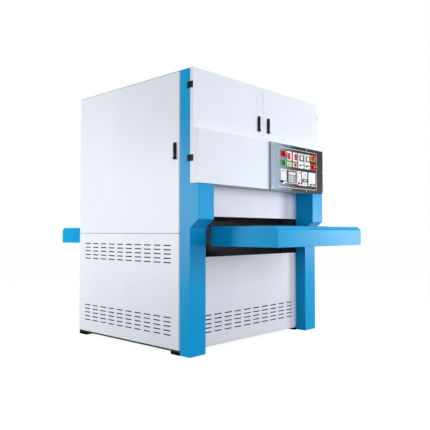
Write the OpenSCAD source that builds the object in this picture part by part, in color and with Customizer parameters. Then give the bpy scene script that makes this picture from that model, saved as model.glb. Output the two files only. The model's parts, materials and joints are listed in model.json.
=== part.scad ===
// Wide-belt deburring machine for sheet metal, free standing.
// Origin: middle of the footprint, on the floor. +X is right seen from the infeed table,
// +Y runs through the machine from infeed to outfeed, +Z is up. Millimetres.

/* [Housing] */
// Width of the housing beyond the conveyor belt, on each side
side_space = 280; // [270:5:330]
// Height of the roof above the floor
body_h = 2000; // [1960:10:2100]
// Depth of the white housing behind the columns
body_d = 1246; // [1226:2:1300]
// How far the middle of the housing lies behind the middle of the tables
body_shift = 7; // [0:1:20]
// Depth of the folded edge round each sheet cover
fold_d = 25; // [22:1:30]
// Thickness of the sheet covers
sheet_t = 2; // [1.5:0.1:2.5]
// Gap between neighbouring covers
cover_gap = 3; // [2:0.5:5]
// Height of the seam between a side door and the vent panel under it
seam_z = 850; // [820:5:880]
// Gap between the columns and the side covers
corner_gap = 3; // [2:0.5:6]
// Size of the slanted front edge of the side covers
side_edge = 10; // [6:1:14]
// Diameter of each dust duct collar on the roof
spigot_d = 150; // [120:5:180]
// Height of each dust duct collar
spigot_h = 80; // [60:5:100]

/* [Feet and base] */
// Height of the foot pads
foot_h = 22; // [16:1:30]
// Width of a foot pad across the machine
foot_w = 170; // [160:5:180]
// Length of a foot pad along the machine
foot_len = 98; // [90:1:110]
// Diameter of the anchor hole in each foot pad
anchor_d = 18; // [14:1:22]
// Width of the square tubes of the frame
tube_w = 60; // [50:5:65]
// Height of the rails on the feet
rail_h = 80; // [70:5:100]
// Height of the black bar that shows under the side panels
skirting_h = 12; // [8:1:14]

/* [Columns] */
// Width of a front column
column_w = 155; // [145:1:165]
// Depth of a front column
column_d = 100; // [90:1:110]
// Thickness of the folded column sheet
column_wall = 3; // [2:0.5:4]
// How far the upper part of a column stands out over the infeed table
nose_out = 80; // [60:1:84]
// Height at which the slanted underside of that part starts
chin_z = 888; // [870:1:900]
// Height of the slanted underside
chin_h = 61; // [50:1:80]

/* [Front doors] */
// Height of the bottom edge of the doors
door_z = 1196; // [1190:1:1205]
// Depth of the flat upper part of a door
door_t = 28; // [24:1:32]
// Depth of the boxed lower part of a door
door_box_d = 86; // [86:1:100]
// Height of the boxed lower part of a door
door_box_h = 373; // [340:1:400]
// Width of one hinge leaf
leaf_w = 28; // [24:1:28]
// Height of one hinge
leaf_h = 45; // [40:1:60]
// Thickness of a hinge leaf
leaf_t = 5; // [4:0.5:6]
// Diameter of a hinge knuckle
knuckle_d = 10; // [9:0.5:12]
// Diameter of a hinge pin
hinge_pin_d = 5; // [4:0.5:6]
// Height of the lower hinge above the bottom edge of the doors
hinge_low_rise = 175; // [150:1:200]
// Distance of the upper hinge below the top of the doors
hinge_high_drop = 120; // [100:1:150]

/* [Handles] */
// Length of a door handle
handle_len = 124; // [110:1:140]
// Width of a door handle
handle_w = 20; // [18:1:24]
// How far a door handle stands out
handle_d = 18; // [14:1:22]
// Distance of the middle of the front door handles below the top of the doors
handle_drop = 295; // [260:5:320]
// Distance of a front door handle from the seam
handle_from_seam = 60; // [55:1:70]
// Height of the middle of the side door handles
side_handle_z = 1432; // [1400:2:1460]
// Distance of a side door handle from the front edge of its door
side_handle_in = 47; // [44:1:60]
// Diameter of a handle shaft
handle_shaft_d = 12; // [10:1:14]

/* [Vents] */
// Length of a vent slot in a side panel
side_slot_len = 76; // [60:1:80]
// Distance from slot to slot along a side panel
side_slot_pitch = 110; // [100:1:112]
// Length of a vent slot in the front panel
front_slot_len = 79; // [60:1:82]
// Distance from slot to slot along the front panel
front_slot_pitch = 113; // [105:1:114]
// Height of a vent slot
slot_h = 8; // [6:0.5:10]
// Distance from slot row to slot row
slot_row_pitch = 30.6; // [28:0.2:32]
// Rows in a group of slots
slot_rows = 5; // [3:1:6]
// Least distance from a row of slots to the edge of a side panel
side_slot_margin = 50; // [40:1:55]
// Least distance from a row of slots to the edge of the front panel
front_slot_margin = 25; // [20:1:28]
// Height of the lowest slot row
low_slots_z = 127; // [120:1:140]
// Height of the lowest row of the upper group on a side panel
high_slots_z = 638; // [620:1:650]

/* [Throat] */
// Height of the lower edge of the header panel over the throat
header_z = 975; // [972:1:990]
// How far the header and the lower front panel lie behind the column fronts
recess_d = 92; // [86:1:98]
// Height of the top edge of the lower front panel
front_panel_top = 678; // [660:1:690]

/* [Tables] */
// Distance from table nose to table nose
machine_len = 2580; // [2480:10:2680]
// Height of the blue table tops
table_top = 900; // [896:1:902]
// Width of the tables beyond the conveyor belt, on each side
table_margin = 49; // [45:1:52]
// Height of the table skirts
skirt_h = 141; // [136:1:146]
// Size of the slant along the nose edge
nose_slant = 27; // [20:1:35]
// Thickness of the table sheet
table_t = 3; // [2:0.5:4]
// Length of the infeed table's skirt
front_table_len = 596; // [586:1:600]
// Length of the outfeed table's skirt
rear_table_len = 640; // [630:1:650]

/* [Conveyor] */
// Width of the conveyor belt
belt_w = 1000; // [900:10:1100]
// Thickness of the conveyor belt
belt_t = 6; // [4:0.5:8]
// How far the belt runs above the table tops
belt_rise = 7; // [5:0.5:8]
// Distance from the table nose to the end of the belt
belt_setback = 217; // [200:1:230]
// Diameter of the conveyor's end rollers
end_roller_d = 120; // [110:2:124]
// Diameter of the end rollers' shafts
end_shaft_d = 30; // [25:1:36]
// Width of the bed's side beams
beam_w = 40; // [38:1:40]
// Height of the bed's side beams
beam_h = 100; // [90:1:106]
// Lowest position of the bed under its rest position
lift_down = 20; // [10:1:25]
// Highest position of the bed above its rest position
lift_up = 50; // [30:1:52]

/* [Bed lift] */
// Diameter of the lifting screws
screw_d = 32; // [28:1:34]
// Diameter of the journal at the foot of a screw
journal_d = 24; // [20:1:26]
// Distance of the lifting screws outside the table skirts
screw_out = 31; // [29:1:32]
// Distance of the lifting screws from the front and the rear of the housing
screw_in = 123; // [115:1:140]
// Teeth on a lifting sprocket
sprocket_teeth = 18; // [14:1:20]
// Diameter over the teeth of a lifting sprocket
sprocket_d = 76; // [70:1:77]
// Thickness of a sprocket
sprocket_t = 10; // [8:1:12]

/* [Grinding heads] */
// Clear height between the belt and the head rollers at rest
work_gap = 63; // [60:1:66]
// Thickness of the heavy side plates that carry the heads
plate_t = 16; // [12:1:20]
// Distance of a side plate outside the inner face of a column
plate_out = 7; // [5:1:10]
// Diameter of the rubber contact roller
contact_d = 180; // [160:2:200]
// Diameter of the tension roller
tension_d = 140; // [120:2:150]
// Distance of the tension roller below the roof
tension_drop = 290; // [270:5:340]
// Width of the abrasive belt beyond the conveyor belt, on each side
abrasive_over = 5; // [1:1:8]
// Thickness of the abrasive belt
abrasive_t = 2; // [1:0.5:3]
// Diameter of the roller brush
brush_d = 210; // [190:2:220]
// Diameter of the hold-down rollers
hold_d = 70; // [60:2:76]
// Diameter of the shafts of the head rollers
head_shaft_d = 50; // [44:1:56]
// Diameter of the shafts of the hold-down rollers
hold_shaft_d = 30; // [25:1:34]
// Distance of the contact roller behind the front edge of the side plates
contact_in = 260; // [250:1:275]
// Distance from the contact roller to the brush
head_pitch = 450; // [440:1:460]

/* [Drives] */
// Diameter of the abrasive belt's motor
main_motor_d = 300; // [260:5:310]
// Length of the abrasive belt's motor
main_motor_len = 480; // [420:5:520]
// Diameter of the brush motor
brush_motor_d = 220; // [200:5:240]
// Length of the brush motor
brush_motor_len = 380; // [340:5:420]
// Diameter of the pulleys on the head rollers
roller_pulley_d = 120; // [110:2:130]
// Diameter of the pulley on the abrasive belt's motor
main_pulley_d = 160; // [140:2:170]
// Diameter of the pulley on the brush motor
brush_pulley_d = 130; // [110:2:140]
// Diameter of the conveyor's motor
conveyor_motor_d = 100; // [90:2:106]
// Width of a pulley
pulley_w = 30; // [26:1:32]
// Depth of the belt groove in a pulley
groove_d = 10; // [8:1:12]

/* [Control panel] */
// Distance of the control plate from the outer side of its door
panel_margin = 28.2; // [20:0.2:36]
// How far the control plate stands out from the door
panel_d = 18; // [14:1:22]
// Width of the field that the instruments share
field_w = 535; // [500:5:560]
// Height of the field that the instruments share
field_h = 301; // [280:1:320]
// Distance from the plate's left edge to the field
field_x = 105; // [95:1:115]
// Distance from the plate's lower edge to the field
field_z = 34; // [28:1:44]
// Thickness of an instrument frame
frame_t = 4; // [3:0.5:5]
// Diameter of a push button
button_d = 30; // [26:1:32]
// How far a push button stands out of its frame
button_out = 8; // [6:0.5:10]
// Travel of a push button
button_travel = 3; // [2:0.5:4]
// Diameter of the emergency stop's mushroom
mushroom_d = 40; // [34:1:44]
// Diameter of the stems behind buttons and knobs
stem_d = 12; // [10:1:14]
// Length of the isolator's handle
isolator_len = 92; // [80:1:100]

/* [Hidden] */
$fn = 48;

// One overrun for every cut, and the clearances that pieces share
cut = 1;
seat_gap = 0.3;
run_gap = 0.05;
clear_gap = 2;

body_w = belt_w + 2 * side_space;
half_w = body_w / 2;
body_front_y = body_shift - body_d / 2;
body_back_y = body_shift + body_d / 2;
column_front_y = body_front_y - column_d;
column_in_x = half_w - column_w;
column_z0 = 3;
nose_top_z = door_z - clear_gap;
recess_y = column_front_y + recess_d;
jamb_w = 48;
roof_z = body_h - sheet_t;
screw_y = body_d / 2 - screw_in;

// Frame of square tubes inside the housing
frame_x = half_w - fold_d - seat_gap;
frame_y0 = body_front_y + seat_gap;
frame_y1 = body_back_y - fold_d - seat_gap;
rail_top = foot_h + rail_h;
panel_z0 = foot_h + skirting_h + clear_gap;
side_front_y = body_front_y + corner_gap;
cross_y = [frame_y0, body_shift - screw_y - tube_w / 2, body_shift + screw_y - tube_w / 2,
    frame_y1 - tube_w];

// Side doors turn on concealed pins near the rear corners
side_pin_in = 12;
side_pin_x = half_w - side_pin_in;
side_pin_y = body_back_y - side_pin_in;
side_pin_d = 10;
side_knuckle_d = 18;
side_knuckle_h = 40;
side_bracket_t = 10;
rear_cover_x = frame_x - 5 * seat_gap - clear_gap;
side_hinge_zs = [seam_z + 3 * side_knuckle_h, roof_z - 4 * side_knuckle_h];

// Front doors
door_back_y = column_front_y - seat_gap;
door_front_y = column_front_y - door_t;
box_front_y = column_front_y - door_box_d;
box_top_z = door_z + door_box_h;
hinge_x = half_w + knuckle_d / 2 + seat_gap;
handle_pivot_z = body_h - handle_drop - handle_len / 2 + handle_w;
hinge_zs = [door_z + hinge_low_rise, body_h - hinge_high_drop];
side_handle_y = side_front_y + side_handle_in;
side_pivot_z = side_handle_z - handle_len / 2 + handle_w;
latch_t = 4;
latch_len = 36;
latch_w = 14;

// Conveyor bed
nose_y = machine_len / 2;
table_x = belt_w / 2 + table_margin;
bed_x = table_x - table_t - seat_gap;
belt_end_y = nose_y - belt_setback;
belt_top = table_top + belt_rise;
end_roller_r = end_roller_d / 2;
roller_y = belt_end_y - belt_t - seat_gap - end_roller_r;
roller_z = belt_top - belt_t - seat_gap - end_roller_r;
belt_inner_top = roller_z + end_roller_r + seat_gap;
beam_drop = 26;
beam_z1 = belt_inner_top - beam_drop;
beam_z0 = beam_z1 - beam_h;
block_len = 90;
block_y0 = roller_y - block_len / 2;
slider_t = 4;
tie_h = 50;
tie_w = 60;
channel_t = 6;
front_skirt_end = -nose_y + front_table_len;
rear_skirt_end = nose_y - rear_table_len;

// Bed lift
screw_x = table_x + screw_out;
screw_top_z = table_top + lift_up - clear_gap;
chain_t = 6;
chain_h = 8;
bracket_h = 70;
bracket_len = 56;
gearbox_h = 78;
gearbox_w = 96;
sprocket_z = rail_top + gearbox_h + sprocket_t;

// Grinding heads
head_bottom = belt_top + work_gap;
plate_set_in = 26;
plate_x = column_in_x + plate_out;
plate_front_y = body_front_y + plate_set_in;
plate_step_z = door_z;
contact_y = plate_front_y + contact_in;
contact_z = head_bottom + contact_d / 2;
tension_z = body_h - tension_drop;
brush_y = contact_y + head_pitch;
brush_z = head_bottom + brush_d / 2;
hold_front_gap = 60;
hold_rear_gap = 80;
hold_z = head_bottom + hold_d / 2;
hold_front_y = contact_y - contact_d / 2 - hold_front_gap - hold_d / 2;
hold_rear_y = brush_y + brush_d / 2 + hold_rear_gap + hold_d / 2;
abrasive_w = belt_w + 2 * abrasive_over;
roller_over = 10;
roller_len = abrasive_w + 2 * roller_over;
bearing_l = 44;
bearing_x0 = plate_x + plate_t;
pulley_x0 = bearing_x0 + bearing_l + clear_gap;
main_motor_back = 390;
main_motor_rise_share = 0.63;
main_motor_y = contact_y + main_motor_back;
main_motor_z = contact_z + main_motor_rise_share * (tension_z - contact_z);
motor_post_gap = 48;
brush_motor_rise = 235;
brush_motor_y = frame_y1 - tube_w - motor_post_gap - brush_motor_d / 2;
brush_motor_z = brush_z + brush_motor_rise;
cabinet_d = 222;
cabinet_set_in = 16;
cabinet_lift = 10;
cabinet_y0 = column_front_y + cabinet_set_in;
cabinet_y1 = cabinet_y0 + cabinet_d;
cabinet_z0 = door_z + cabinet_lift;
cabinet_z1 = roof_z - tube_w - clear_gap;
plate_step_y = cabinet_y1 + clear_gap;

// Control panel: places are shares of the field's width and height
panel_x = cover_gap / 2 + seat_gap;
panel_y = box_front_y - panel_d;
panel_w = half_w - panel_x - panel_margin;
selector_column_share = 0.107;
first_button_column_share = 0.253;
second_button_column_share = 0.404;
stop_column_share = 0.906;
top_row_share = 0.867;
second_row_share = 0.626;
button_row_share = 0.606;
knob_column_share = 0.045;
knob_row_share = 0.112;

function field_point(x_share, z_share) =
    [panel_x + field_x + x_share * field_w, door_z + field_z + z_share * field_h];

// Building blocks

module box(x0, x1, y0, y1, z0, z1) {
    translate([x0, y0, z0]) cube([x1 - x0, y1 - y0, z1 - z0]);
}

// A bar on both sides of the machine
module both_sides() {
    children();
    mirror([1, 0, 0]) children();
}

// A round bar along X from x0 to x1, centred at y, z
module bar_x(d, x0, x1, y, z) {
    translate([x0, y, z]) rotate([0, 90, 0]) cylinder(d = d, h = x1 - x0);
}

// A round bar along Y from y0 to y1, centred at x, z
module bar_y(d, y0, y1, x, z) {
    translate([x, y0, z]) rotate([-90, 0, 0]) cylinder(d = d, h = y1 - y0);
}

// An outline in the side view (y, z), extruded across the machine from x0 to x1
module across(x0, x1) {
    translate([x0, 0, 0]) rotate([90, 0, 90]) linear_extrude(x1 - x0) children();
}

// Points along an arc round a centre
function arc(r, centre, a0, a1) =
    [for (i = [0 : $fn]) let (a = a0 + i * (a1 - a0) / $fn) centre + r * [cos(a), sin(a)]];

// The outline of a belt round two circles: b is the second centre seen from the first
module wrap(r1, r2, b) {
    lean = acos((r1 - r2) / norm(b));
    heading = atan2(b[1], b[0]);
    polygon(concat(arc(r1, [0, 0], heading + lean, heading + 360 - lean),
        arc(r2, b, heading - lean, heading + lean)));
}

// A flat belt round two rollers in the side view
module belt_loop(r1, r2, a, b, t) {
    translate(a) difference() {
        wrap(r1 + t, r2 + t, b - a);
        wrap(r1, r2, b - a);
    }
}

// Rows of vent slots along the first axis, as many as a width takes, the row's middle at 0
module slot_grid(len, pitch, z0, width) {
    cols = floor((width - len) / pitch);
    for (row = [0 : slot_rows - 1], col = [0 : cols])
        translate([(col - cols / 2) * pitch - len / 2, z0 + row * slot_row_pitch])
            square([len, slot_h]);
}

// Base and frame

module base_frame() {
    color("#2b2d30") {
        both_sides() {
            box(frame_x - tube_w, frame_x, frame_y0, frame_y1, foot_h, rail_top);
            box(frame_x - tube_w, frame_x, frame_y0, frame_y1, roof_z - tube_w, roof_z);
            box(frame_x - cut, half_w - 2 * clear_gap, frame_y0, frame_y1 + fold_d - clear_gap,
                foot_h, foot_h + skirting_h);
            for (y = [frame_y0, frame_y1 - tube_w])
                box(frame_x - tube_w, frame_x, y, y + tube_w, rail_top - cut, roof_z - cut);
            for (z = side_hinge_zs) side_hinge_bracket(z);
        }
        difference() {
            for (y = cross_y)
                box(-frame_x + cut, frame_x - cut, y, y + tube_w, foot_h, rail_top);
            for (x = [-screw_x, screw_x], y = [-screw_y, screw_y])
                translate([x, body_shift + y, foot_h + cut])
                    cylinder(d = journal_d + 2 * run_gap, h = rail_h);
            anchor_holes(anchor_d + 2 * clear_gap, rail_top + 2 * cut);
        }
        for (y = [frame_y0, frame_y1 - tube_w])
            box(-frame_x + cut, frame_x - cut, y, y + tube_w, roof_z - tube_w, roof_z);
    }
}

// The arm and pin that carry a side door, on the rear post
module side_hinge_bracket(z) {
    box(frame_x - tube_w / 2, side_pin_x + side_pin_d / 2, frame_y1 - tube_w / 2,
        side_pin_y + side_pin_d / 2, z, z + side_bracket_t);
    translate([side_pin_x, side_pin_y, z])
        cylinder(d = side_pin_d, h = side_bracket_t + side_knuckle_h);
}

module feet() {
    color("#1d1e20")
        difference() {
            both_sides()
                for (y = [frame_y0, body_back_y - foot_len])
                    box(half_w - 2 * clear_gap - foot_w, half_w - 2 * clear_gap,
                        y, y + foot_len, 0, foot_h);
            anchor_holes(anchor_d, foot_h + 2 * cut);
        }
}

// Upright holes for the floor anchors, under the middle of the front and rear rails
module anchor_holes(d, h) {
    x = half_w - 2 * clear_gap - foot_w + 1.5 * anchor_d;
    both_sides() for (y = [frame_y0 + tube_w / 2, frame_y1 - tube_w / 2])
        translate([x, y, -cut]) cylinder(d = d, h = h);
}

// Columns

// Side outline of a column, moved inwards by i
function chin_shift(i) =
    let (slope = norm([nose_out, chin_h]))
    i * (nose_out / slope + (chin_h / slope - 1) * chin_h / nose_out);

function column_outline(i, back) = [
    [back, column_z0 + i],
    [column_front_y + i, column_z0 + i],
    [column_front_y + i, chin_z + chin_shift(i)],
    [column_front_y - nose_out + i, chin_z + chin_h + chin_shift(i)],
    [column_front_y - nose_out + i, nose_top_z - i],
    [column_front_y + i, nose_top_z - i],
    [column_front_y + i, body_h - i],
    [back, body_h - i]
];

module column() {
    color("#1e9ae0")
        difference() {
            across(column_in_x, half_w) polygon(column_outline(0, body_front_y));
            across(column_in_x + column_wall, half_w - column_wall)
                polygon(column_outline(column_wall, body_front_y + cut));
        }
}

module left_column() { mirror([1, 0, 0]) column(); }

module right_column() { column(); }

// Side covers

// Plan of a side cover with its slanted front edge, moved inwards by i
module side_plan(i, y1) {
    slant = side_edge + i * (sqrt(2) - 1);
    back = half_w - fold_d - (i > 0 ? cut : 0);
    polygon([[back, side_front_y + i], [half_w - slant, side_front_y + i],
        [half_w - i, side_front_y + slant], [half_w - i, y1 - i], [back, y1 - i]]);
}

module side_tray(z0, z1, y1) {
    difference() {
        translate([0, 0, z0]) linear_extrude(z1 - z0) side_plan(0, y1);
        translate([0, 0, z0 + sheet_t]) linear_extrude(z1 - z0 - 2 * sheet_t)
            side_plan(sheet_t, y1);
    }
}

module vent_panel() {
    color("#e8edf5")
        difference() {
            side_tray(panel_z0, seam_z - cover_gap / 2, body_back_y);
            for (z = [low_slots_z, high_slots_z])
                translate([half_w - sheet_t - cut,
                        (side_front_y + side_edge + body_back_y) / 2, 0])
                    rotate([90, 0, 90])
                        linear_extrude(sheet_t + 2 * cut)
                            slot_grid(side_slot_len, side_slot_pitch, z,
                                body_back_y - side_front_y - 2 * side_slot_margin);
        }
}

module left_vent_panel() { mirror([1, 0, 0]) vent_panel(); }

module right_vent_panel() { vent_panel(); }

module side_door() {
    y1 = body_back_y - clear_gap;
    color("#e8edf5")
        difference() {
            union() {
                side_tray(seam_z + cover_gap / 2, roof_z - cover_gap, y1);
                for (z = side_hinge_zs)
                    translate([side_pin_x, side_pin_y, z + side_bracket_t + seat_gap]) {
                        cylinder(d = side_knuckle_d, h = side_knuckle_h);
                        translate([0, -side_knuckle_d / 2, 0])
                            cube([side_pin_in - sheet_t / 2, side_knuckle_d, side_knuckle_h]);
                    }
            }
            for (z = side_hinge_zs) {
                translate([side_pin_x, side_pin_y, z])
                    cylinder(d = side_pin_d + 2 * run_gap, h = 2 * side_knuckle_h);
                box(half_w - fold_d - cut, side_pin_x + side_knuckle_d / 2, y1 - sheet_t - cut,
                    y1 + cut, z - side_bracket_t, z + 2 * side_bracket_t);
            }
            bar_x(handle_shaft_d + 2 * run_gap, half_w - sheet_t - cut, half_w + cut,
                side_handle_y, side_pivot_z);
        }
}

module left_side_door() { mirror([1, 0, 0]) side_door(); }

module right_side_door() { side_door(); }

// Roof and rear

module top_cover() {
    spigot_x = body_w / 5;
    color("#e8edf5")
        difference() {
            union() {
                box(-half_w, half_w, body_front_y + seat_gap, body_back_y, roof_z, body_h);
                box(-column_in_x + seat_gap, column_in_x - seat_gap,
                    column_front_y, body_front_y + cut, roof_z, body_h);
                box(-column_in_x + seat_gap, column_in_x - seat_gap,
                    column_front_y, column_front_y + sheet_t, roof_z - fold_d, body_h);
                for (x = [-spigot_x, spigot_x])
                    translate([x, body_shift, roof_z]) cylinder(d = spigot_d, h = sheet_t + spigot_h);
            }
            for (x = [-spigot_x, spigot_x])
                translate([x, body_shift, roof_z - cut])
                    cylinder(d = spigot_d - 2 * sheet_t, h = spigot_h + sheet_t + 2 * cut);
        }
}

module rear_tray(z0, z1) {
    difference() {
        box(-rear_cover_x, rear_cover_x, body_back_y - fold_d, body_back_y, z0, z1);
        box(-rear_cover_x + sheet_t, rear_cover_x - sheet_t, body_back_y - fold_d - cut,
            body_back_y - sheet_t, z0 + sheet_t, z1 - sheet_t);
    }
}

module rear_upper_cover() {
    throat_x = table_x + 3 * clear_gap;
    color("#e8edf5")
        difference() {
            rear_tray(front_panel_top + cover_gap, roof_z - seat_gap);
            box(-throat_x, throat_x, body_back_y - fold_d - cut, body_back_y + cut,
                front_panel_top, header_z + clear_gap);
            both_sides() for (z = side_hinge_zs)
                box(rear_cover_x - sheet_t - cut, rear_cover_x + cut,
                    body_back_y - fold_d - cut, side_pin_y + side_pin_d / 2 + clear_gap,
                    z - clear_gap, z + side_bracket_t + clear_gap);
        }
}

module rear_vent_panel() {
    color("#e8edf5")
        difference() {
            rear_tray(panel_z0, front_panel_top);
            translate([0, body_back_y + cut, 0]) rotate([90, 0, 0])
                linear_extrude(sheet_t + 2 * cut)
                    slot_grid(front_slot_len, front_slot_pitch, low_slots_z,
                        2 * (column_in_x - jamb_w - front_slot_margin));
            bar_y(gland_d(), body_back_y - fold_d, body_back_y + cut, gland_x(), gland_z());
        }
}

// Front of the throat

module front_header() {
    x = column_in_x - seat_gap;
    color("#dcdfec")
        difference() {
            box(-x, x, recess_y, recess_y + fold_d, header_z, nose_top_z);
            box(-x + sheet_t, x - sheet_t, recess_y + sheet_t, recess_y + fold_d + cut,
                header_z + sheet_t, nose_top_z - sheet_t);
        }
}

module front_vent_panel() {
    x = column_in_x - seat_gap;
    jamb = jamb_w;
    back = body_front_y;
    set_back = (back - recess_y) / 2;
    color("#dfe4ee")
        difference() {
            union() {
                box(-x + jamb, x - jamb, recess_y, back, panel_z0, front_panel_top);
                box(-x, x, recess_y + set_back, back, panel_z0, front_panel_top);
            }
            box(-x + jamb + sheet_t, x - jamb - sheet_t, recess_y + sheet_t,
                back + cut, panel_z0 + sheet_t, front_panel_top - sheet_t);
            box(-x + sheet_t, x - sheet_t, recess_y + set_back + sheet_t,
                back + cut, panel_z0 + sheet_t, front_panel_top - sheet_t);
            translate([0, recess_y + sheet_t + cut, 0]) rotate([90, 0, 0])
                linear_extrude(sheet_t + 2 * cut)
                    slot_grid(front_slot_len, front_slot_pitch, low_slots_z - clear_gap,
                        2 * (x - jamb - front_slot_margin));
        }
}

// Front doors

function door_outline(i, back) = [
    [back, door_z + i],
    [box_front_y + i, door_z + i],
    [box_front_y + i, box_top_z - i],
    [door_front_y + i, box_top_z - i],
    [door_front_y + i, body_h - i],
    [back, body_h - i]
];

module front_door() {
    color("#e2e7f1")
        difference() {
            across(cover_gap / 2, half_w) polygon(door_outline(0, door_back_y));
            across(cover_gap / 2 + sheet_t, half_w - sheet_t)
                polygon(door_outline(sheet_t, door_back_y + cut));
            bar_y(handle_shaft_d + 2 * run_gap, door_front_y - cut, door_front_y + sheet_t + cut,
                handle_from_seam, handle_pivot_z);
        }
}

module left_front_door() { mirror([1, 0, 0]) front_door(); }

module right_front_door() { front_door(); }

module leaf(side) {
    difference() {
        box(half_w, half_w + leaf_t, side > 0 ? 0 : -leaf_w, side > 0 ? leaf_w : 0,
            -leaf_h / 2, leaf_h / 2);
        for (z = [-leaf_h / 4, leaf_h / 4])
            translate([half_w + leaf_t / 2, side * leaf_w * 0.6, z]) rotate([0, 90, 0])
                cylinder(d = leaf_t, h = leaf_t);
    }
}

// The fixed half of a hinge: leaf, lower knuckle and pin
module fixed_hinge() {
    difference() {
        union() {
            leaf(1);
            translate([hinge_x, 0, -leaf_h / 2]) cylinder(d = knuckle_d, h = leaf_h / 2);
        }
        translate([half_w - cut, -knuckle_d, 0])
            cube([knuckle_d + 2 * cut, knuckle_d * 1.5 + seat_gap, leaf_h]);
        box(half_w - cut, hinge_x - knuckle_d / 4, -knuckle_d, 0, -leaf_h, leaf_h);
    }
    translate([hinge_x, 0, -leaf_h / 2]) cylinder(d = hinge_pin_d, h = leaf_h);
}

// The moving half of a hinge: leaf and upper knuckle, bored for the pin
module moving_hinge() {
    difference() {
        union() {
            leaf(-1);
            translate([hinge_x, 0, seat_gap]) cylinder(d = knuckle_d, h = leaf_h / 2 - seat_gap);
        }
        translate([half_w - cut, -knuckle_d / 2 - seat_gap, -leaf_h])
            cube([knuckle_d + 2 * cut, knuckle_d * 1.5 + seat_gap, leaf_h + seat_gap]);
        translate([hinge_x, 0, -cut]) cylinder(d = hinge_pin_d + 2 * run_gap, h = leaf_h);
    }
}

module on_hinges() {
    for (z = hinge_zs) translate([0, column_front_y, z]) children();
}

module fixed_hinge_leaves() { color("#26282b") both_sides() on_hinges() fixed_hinge(); }

module left_door_leaves() { color("#26282b") mirror([1, 0, 0]) on_hinges() moving_hinge(); }

module right_door_leaves() { color("#26282b") on_hinges() moving_hinge(); }

// A swing handle in its own axes: the shaft runs along +Y into the door, the lever stands up
module swing_handle() {
    lever = handle_len - handle_w;
    shaft = sheet_t + fold_d / 2;
    color("#1b1c1f") {
        rotate([90, 0, 0]) {
            translate([0, 0, seat_gap]) cylinder(d = handle_w + clear_gap, h = handle_d * 0.6);
            translate([0, 0, seat_gap]) linear_extrude(handle_d * 0.75)
                polygon([[-handle_w * 0.4, 0], [handle_w * 0.4, 0], [handle_w * 0.5, lever * 0.3],
                    [handle_w * 0.5, lever * 0.8], [handle_w * 0.3, lever],
                    [-handle_w * 0.3, lever], [-handle_w * 0.5, lever * 0.8],
                    [-handle_w * 0.5, lever * 0.3]]);
            translate([0, lever * 0.3, seat_gap + handle_d * 0.75 - cut]) linear_extrude(handle_d * 0.25)
                translate([-handle_w * 0.3, 0]) square([handle_w * 0.6, lever * 0.6]);
            translate([0, -handle_w * 0.4, seat_gap]) cylinder(d = handle_w, h = handle_d);
        }
        translate([0, -2 * seat_gap, 0]) rotate([-90, 0, 0])
            cylinder(d = handle_shaft_d, h = shaft);
        translate([-latch_w / 2, shaft - latch_t, -latch_w / 2])
            cube([latch_len, latch_t, latch_w]);
    }
}

module left_front_handle() {
    translate([-handle_from_seam, door_front_y, handle_pivot_z]) swing_handle();
}

module right_front_handle() {
    mirror([1, 0, 0]) left_front_handle();
}

module right_side_handle() {
    translate([half_w, side_handle_y, side_pivot_z]) rotate([0, 0, 90])
        mirror([1, 0, 0]) swing_handle();
}

module left_side_handle() { mirror([1, 0, 0]) right_side_handle(); }

// Electrical cabinet behind the front doors

module cabinet_shell() {
    x = column_in_x - seat_gap;
    lip = 20;
    color("#d9dbdc")
        difference() {
            box(-x, x, cabinet_y0, cabinet_y1, cabinet_z0, cabinet_z1);
            box(-x + sheet_t, x - sheet_t, cabinet_y0 + sheet_t, cabinet_y1 - sheet_t,
                cabinet_z0 + sheet_t, cabinet_z1 - sheet_t);
            box(-x + lip, x - lip, cabinet_y0 - cut, cabinet_y0 + sheet_t + cut,
                cabinet_z0 + lip, cabinet_z1 - lip);
        }
}

// Inverters, contactors, terminals and slotted duct on the cabinet's back wall
module electrical_gear() {
    back = cabinet_y1 - sheet_t;
    x = column_in_x;
    rise = cabinet_z1 - cabinet_z0;
    inverter_w = 150;
    inverter_share = 0.33;
    inverter_h = inverter_share * rise;
    inverter_d = 130;
    contactor_w = 45;
    contactor_h = 80;
    contactor_d = 85;
    duct = 40;
    color("#3a3d42")
        for (i = [-1 : 1])
            translate([i * x / 2 - inverter_w / 2, back - inverter_d, cabinet_z0 + rise * 0.6])
                difference() {
                    cube([inverter_w, inverter_d, inverter_h]);
                    for (k = [1 : 5])
                        translate([inverter_w * 0.15, -cut, inverter_h * 0.1 + k * inverter_h / 14])
                            cube([inverter_w * 0.7, inverter_w / 20, inverter_h / 40]);
                }
    color("#2f3236")
        for (i = [-4 : 4])
            translate([i * 2 * contactor_w - contactor_w / 2, back - contactor_d,
                    cabinet_z0 + rise * 0.3]) {
                cube([contactor_w, contactor_d, contactor_h]);
                translate([contactor_w * 0.25, -contactor_w * 0.1, contactor_h * 0.3])
                    cube([contactor_w * 0.5, contactor_w * 0.1, contactor_h * 0.4]);
            }
    color("#8d9195")
        for (share = [0.08, 0.5])
            difference() {
                translate([-x * 0.85, back - duct, cabinet_z0 + rise * share])
                    cube([x * 1.7, duct, duct]);
                for (k = [0 : 24])
                    translate([-x * 0.82 + k * x * 0.067, back - duct - cut,
                            cabinet_z0 + rise * share + duct * 0.2])
                        cube([duct * 0.25, duct * 0.4, duct]);
            }
}

// Heavy side plates and grinding heads

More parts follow.
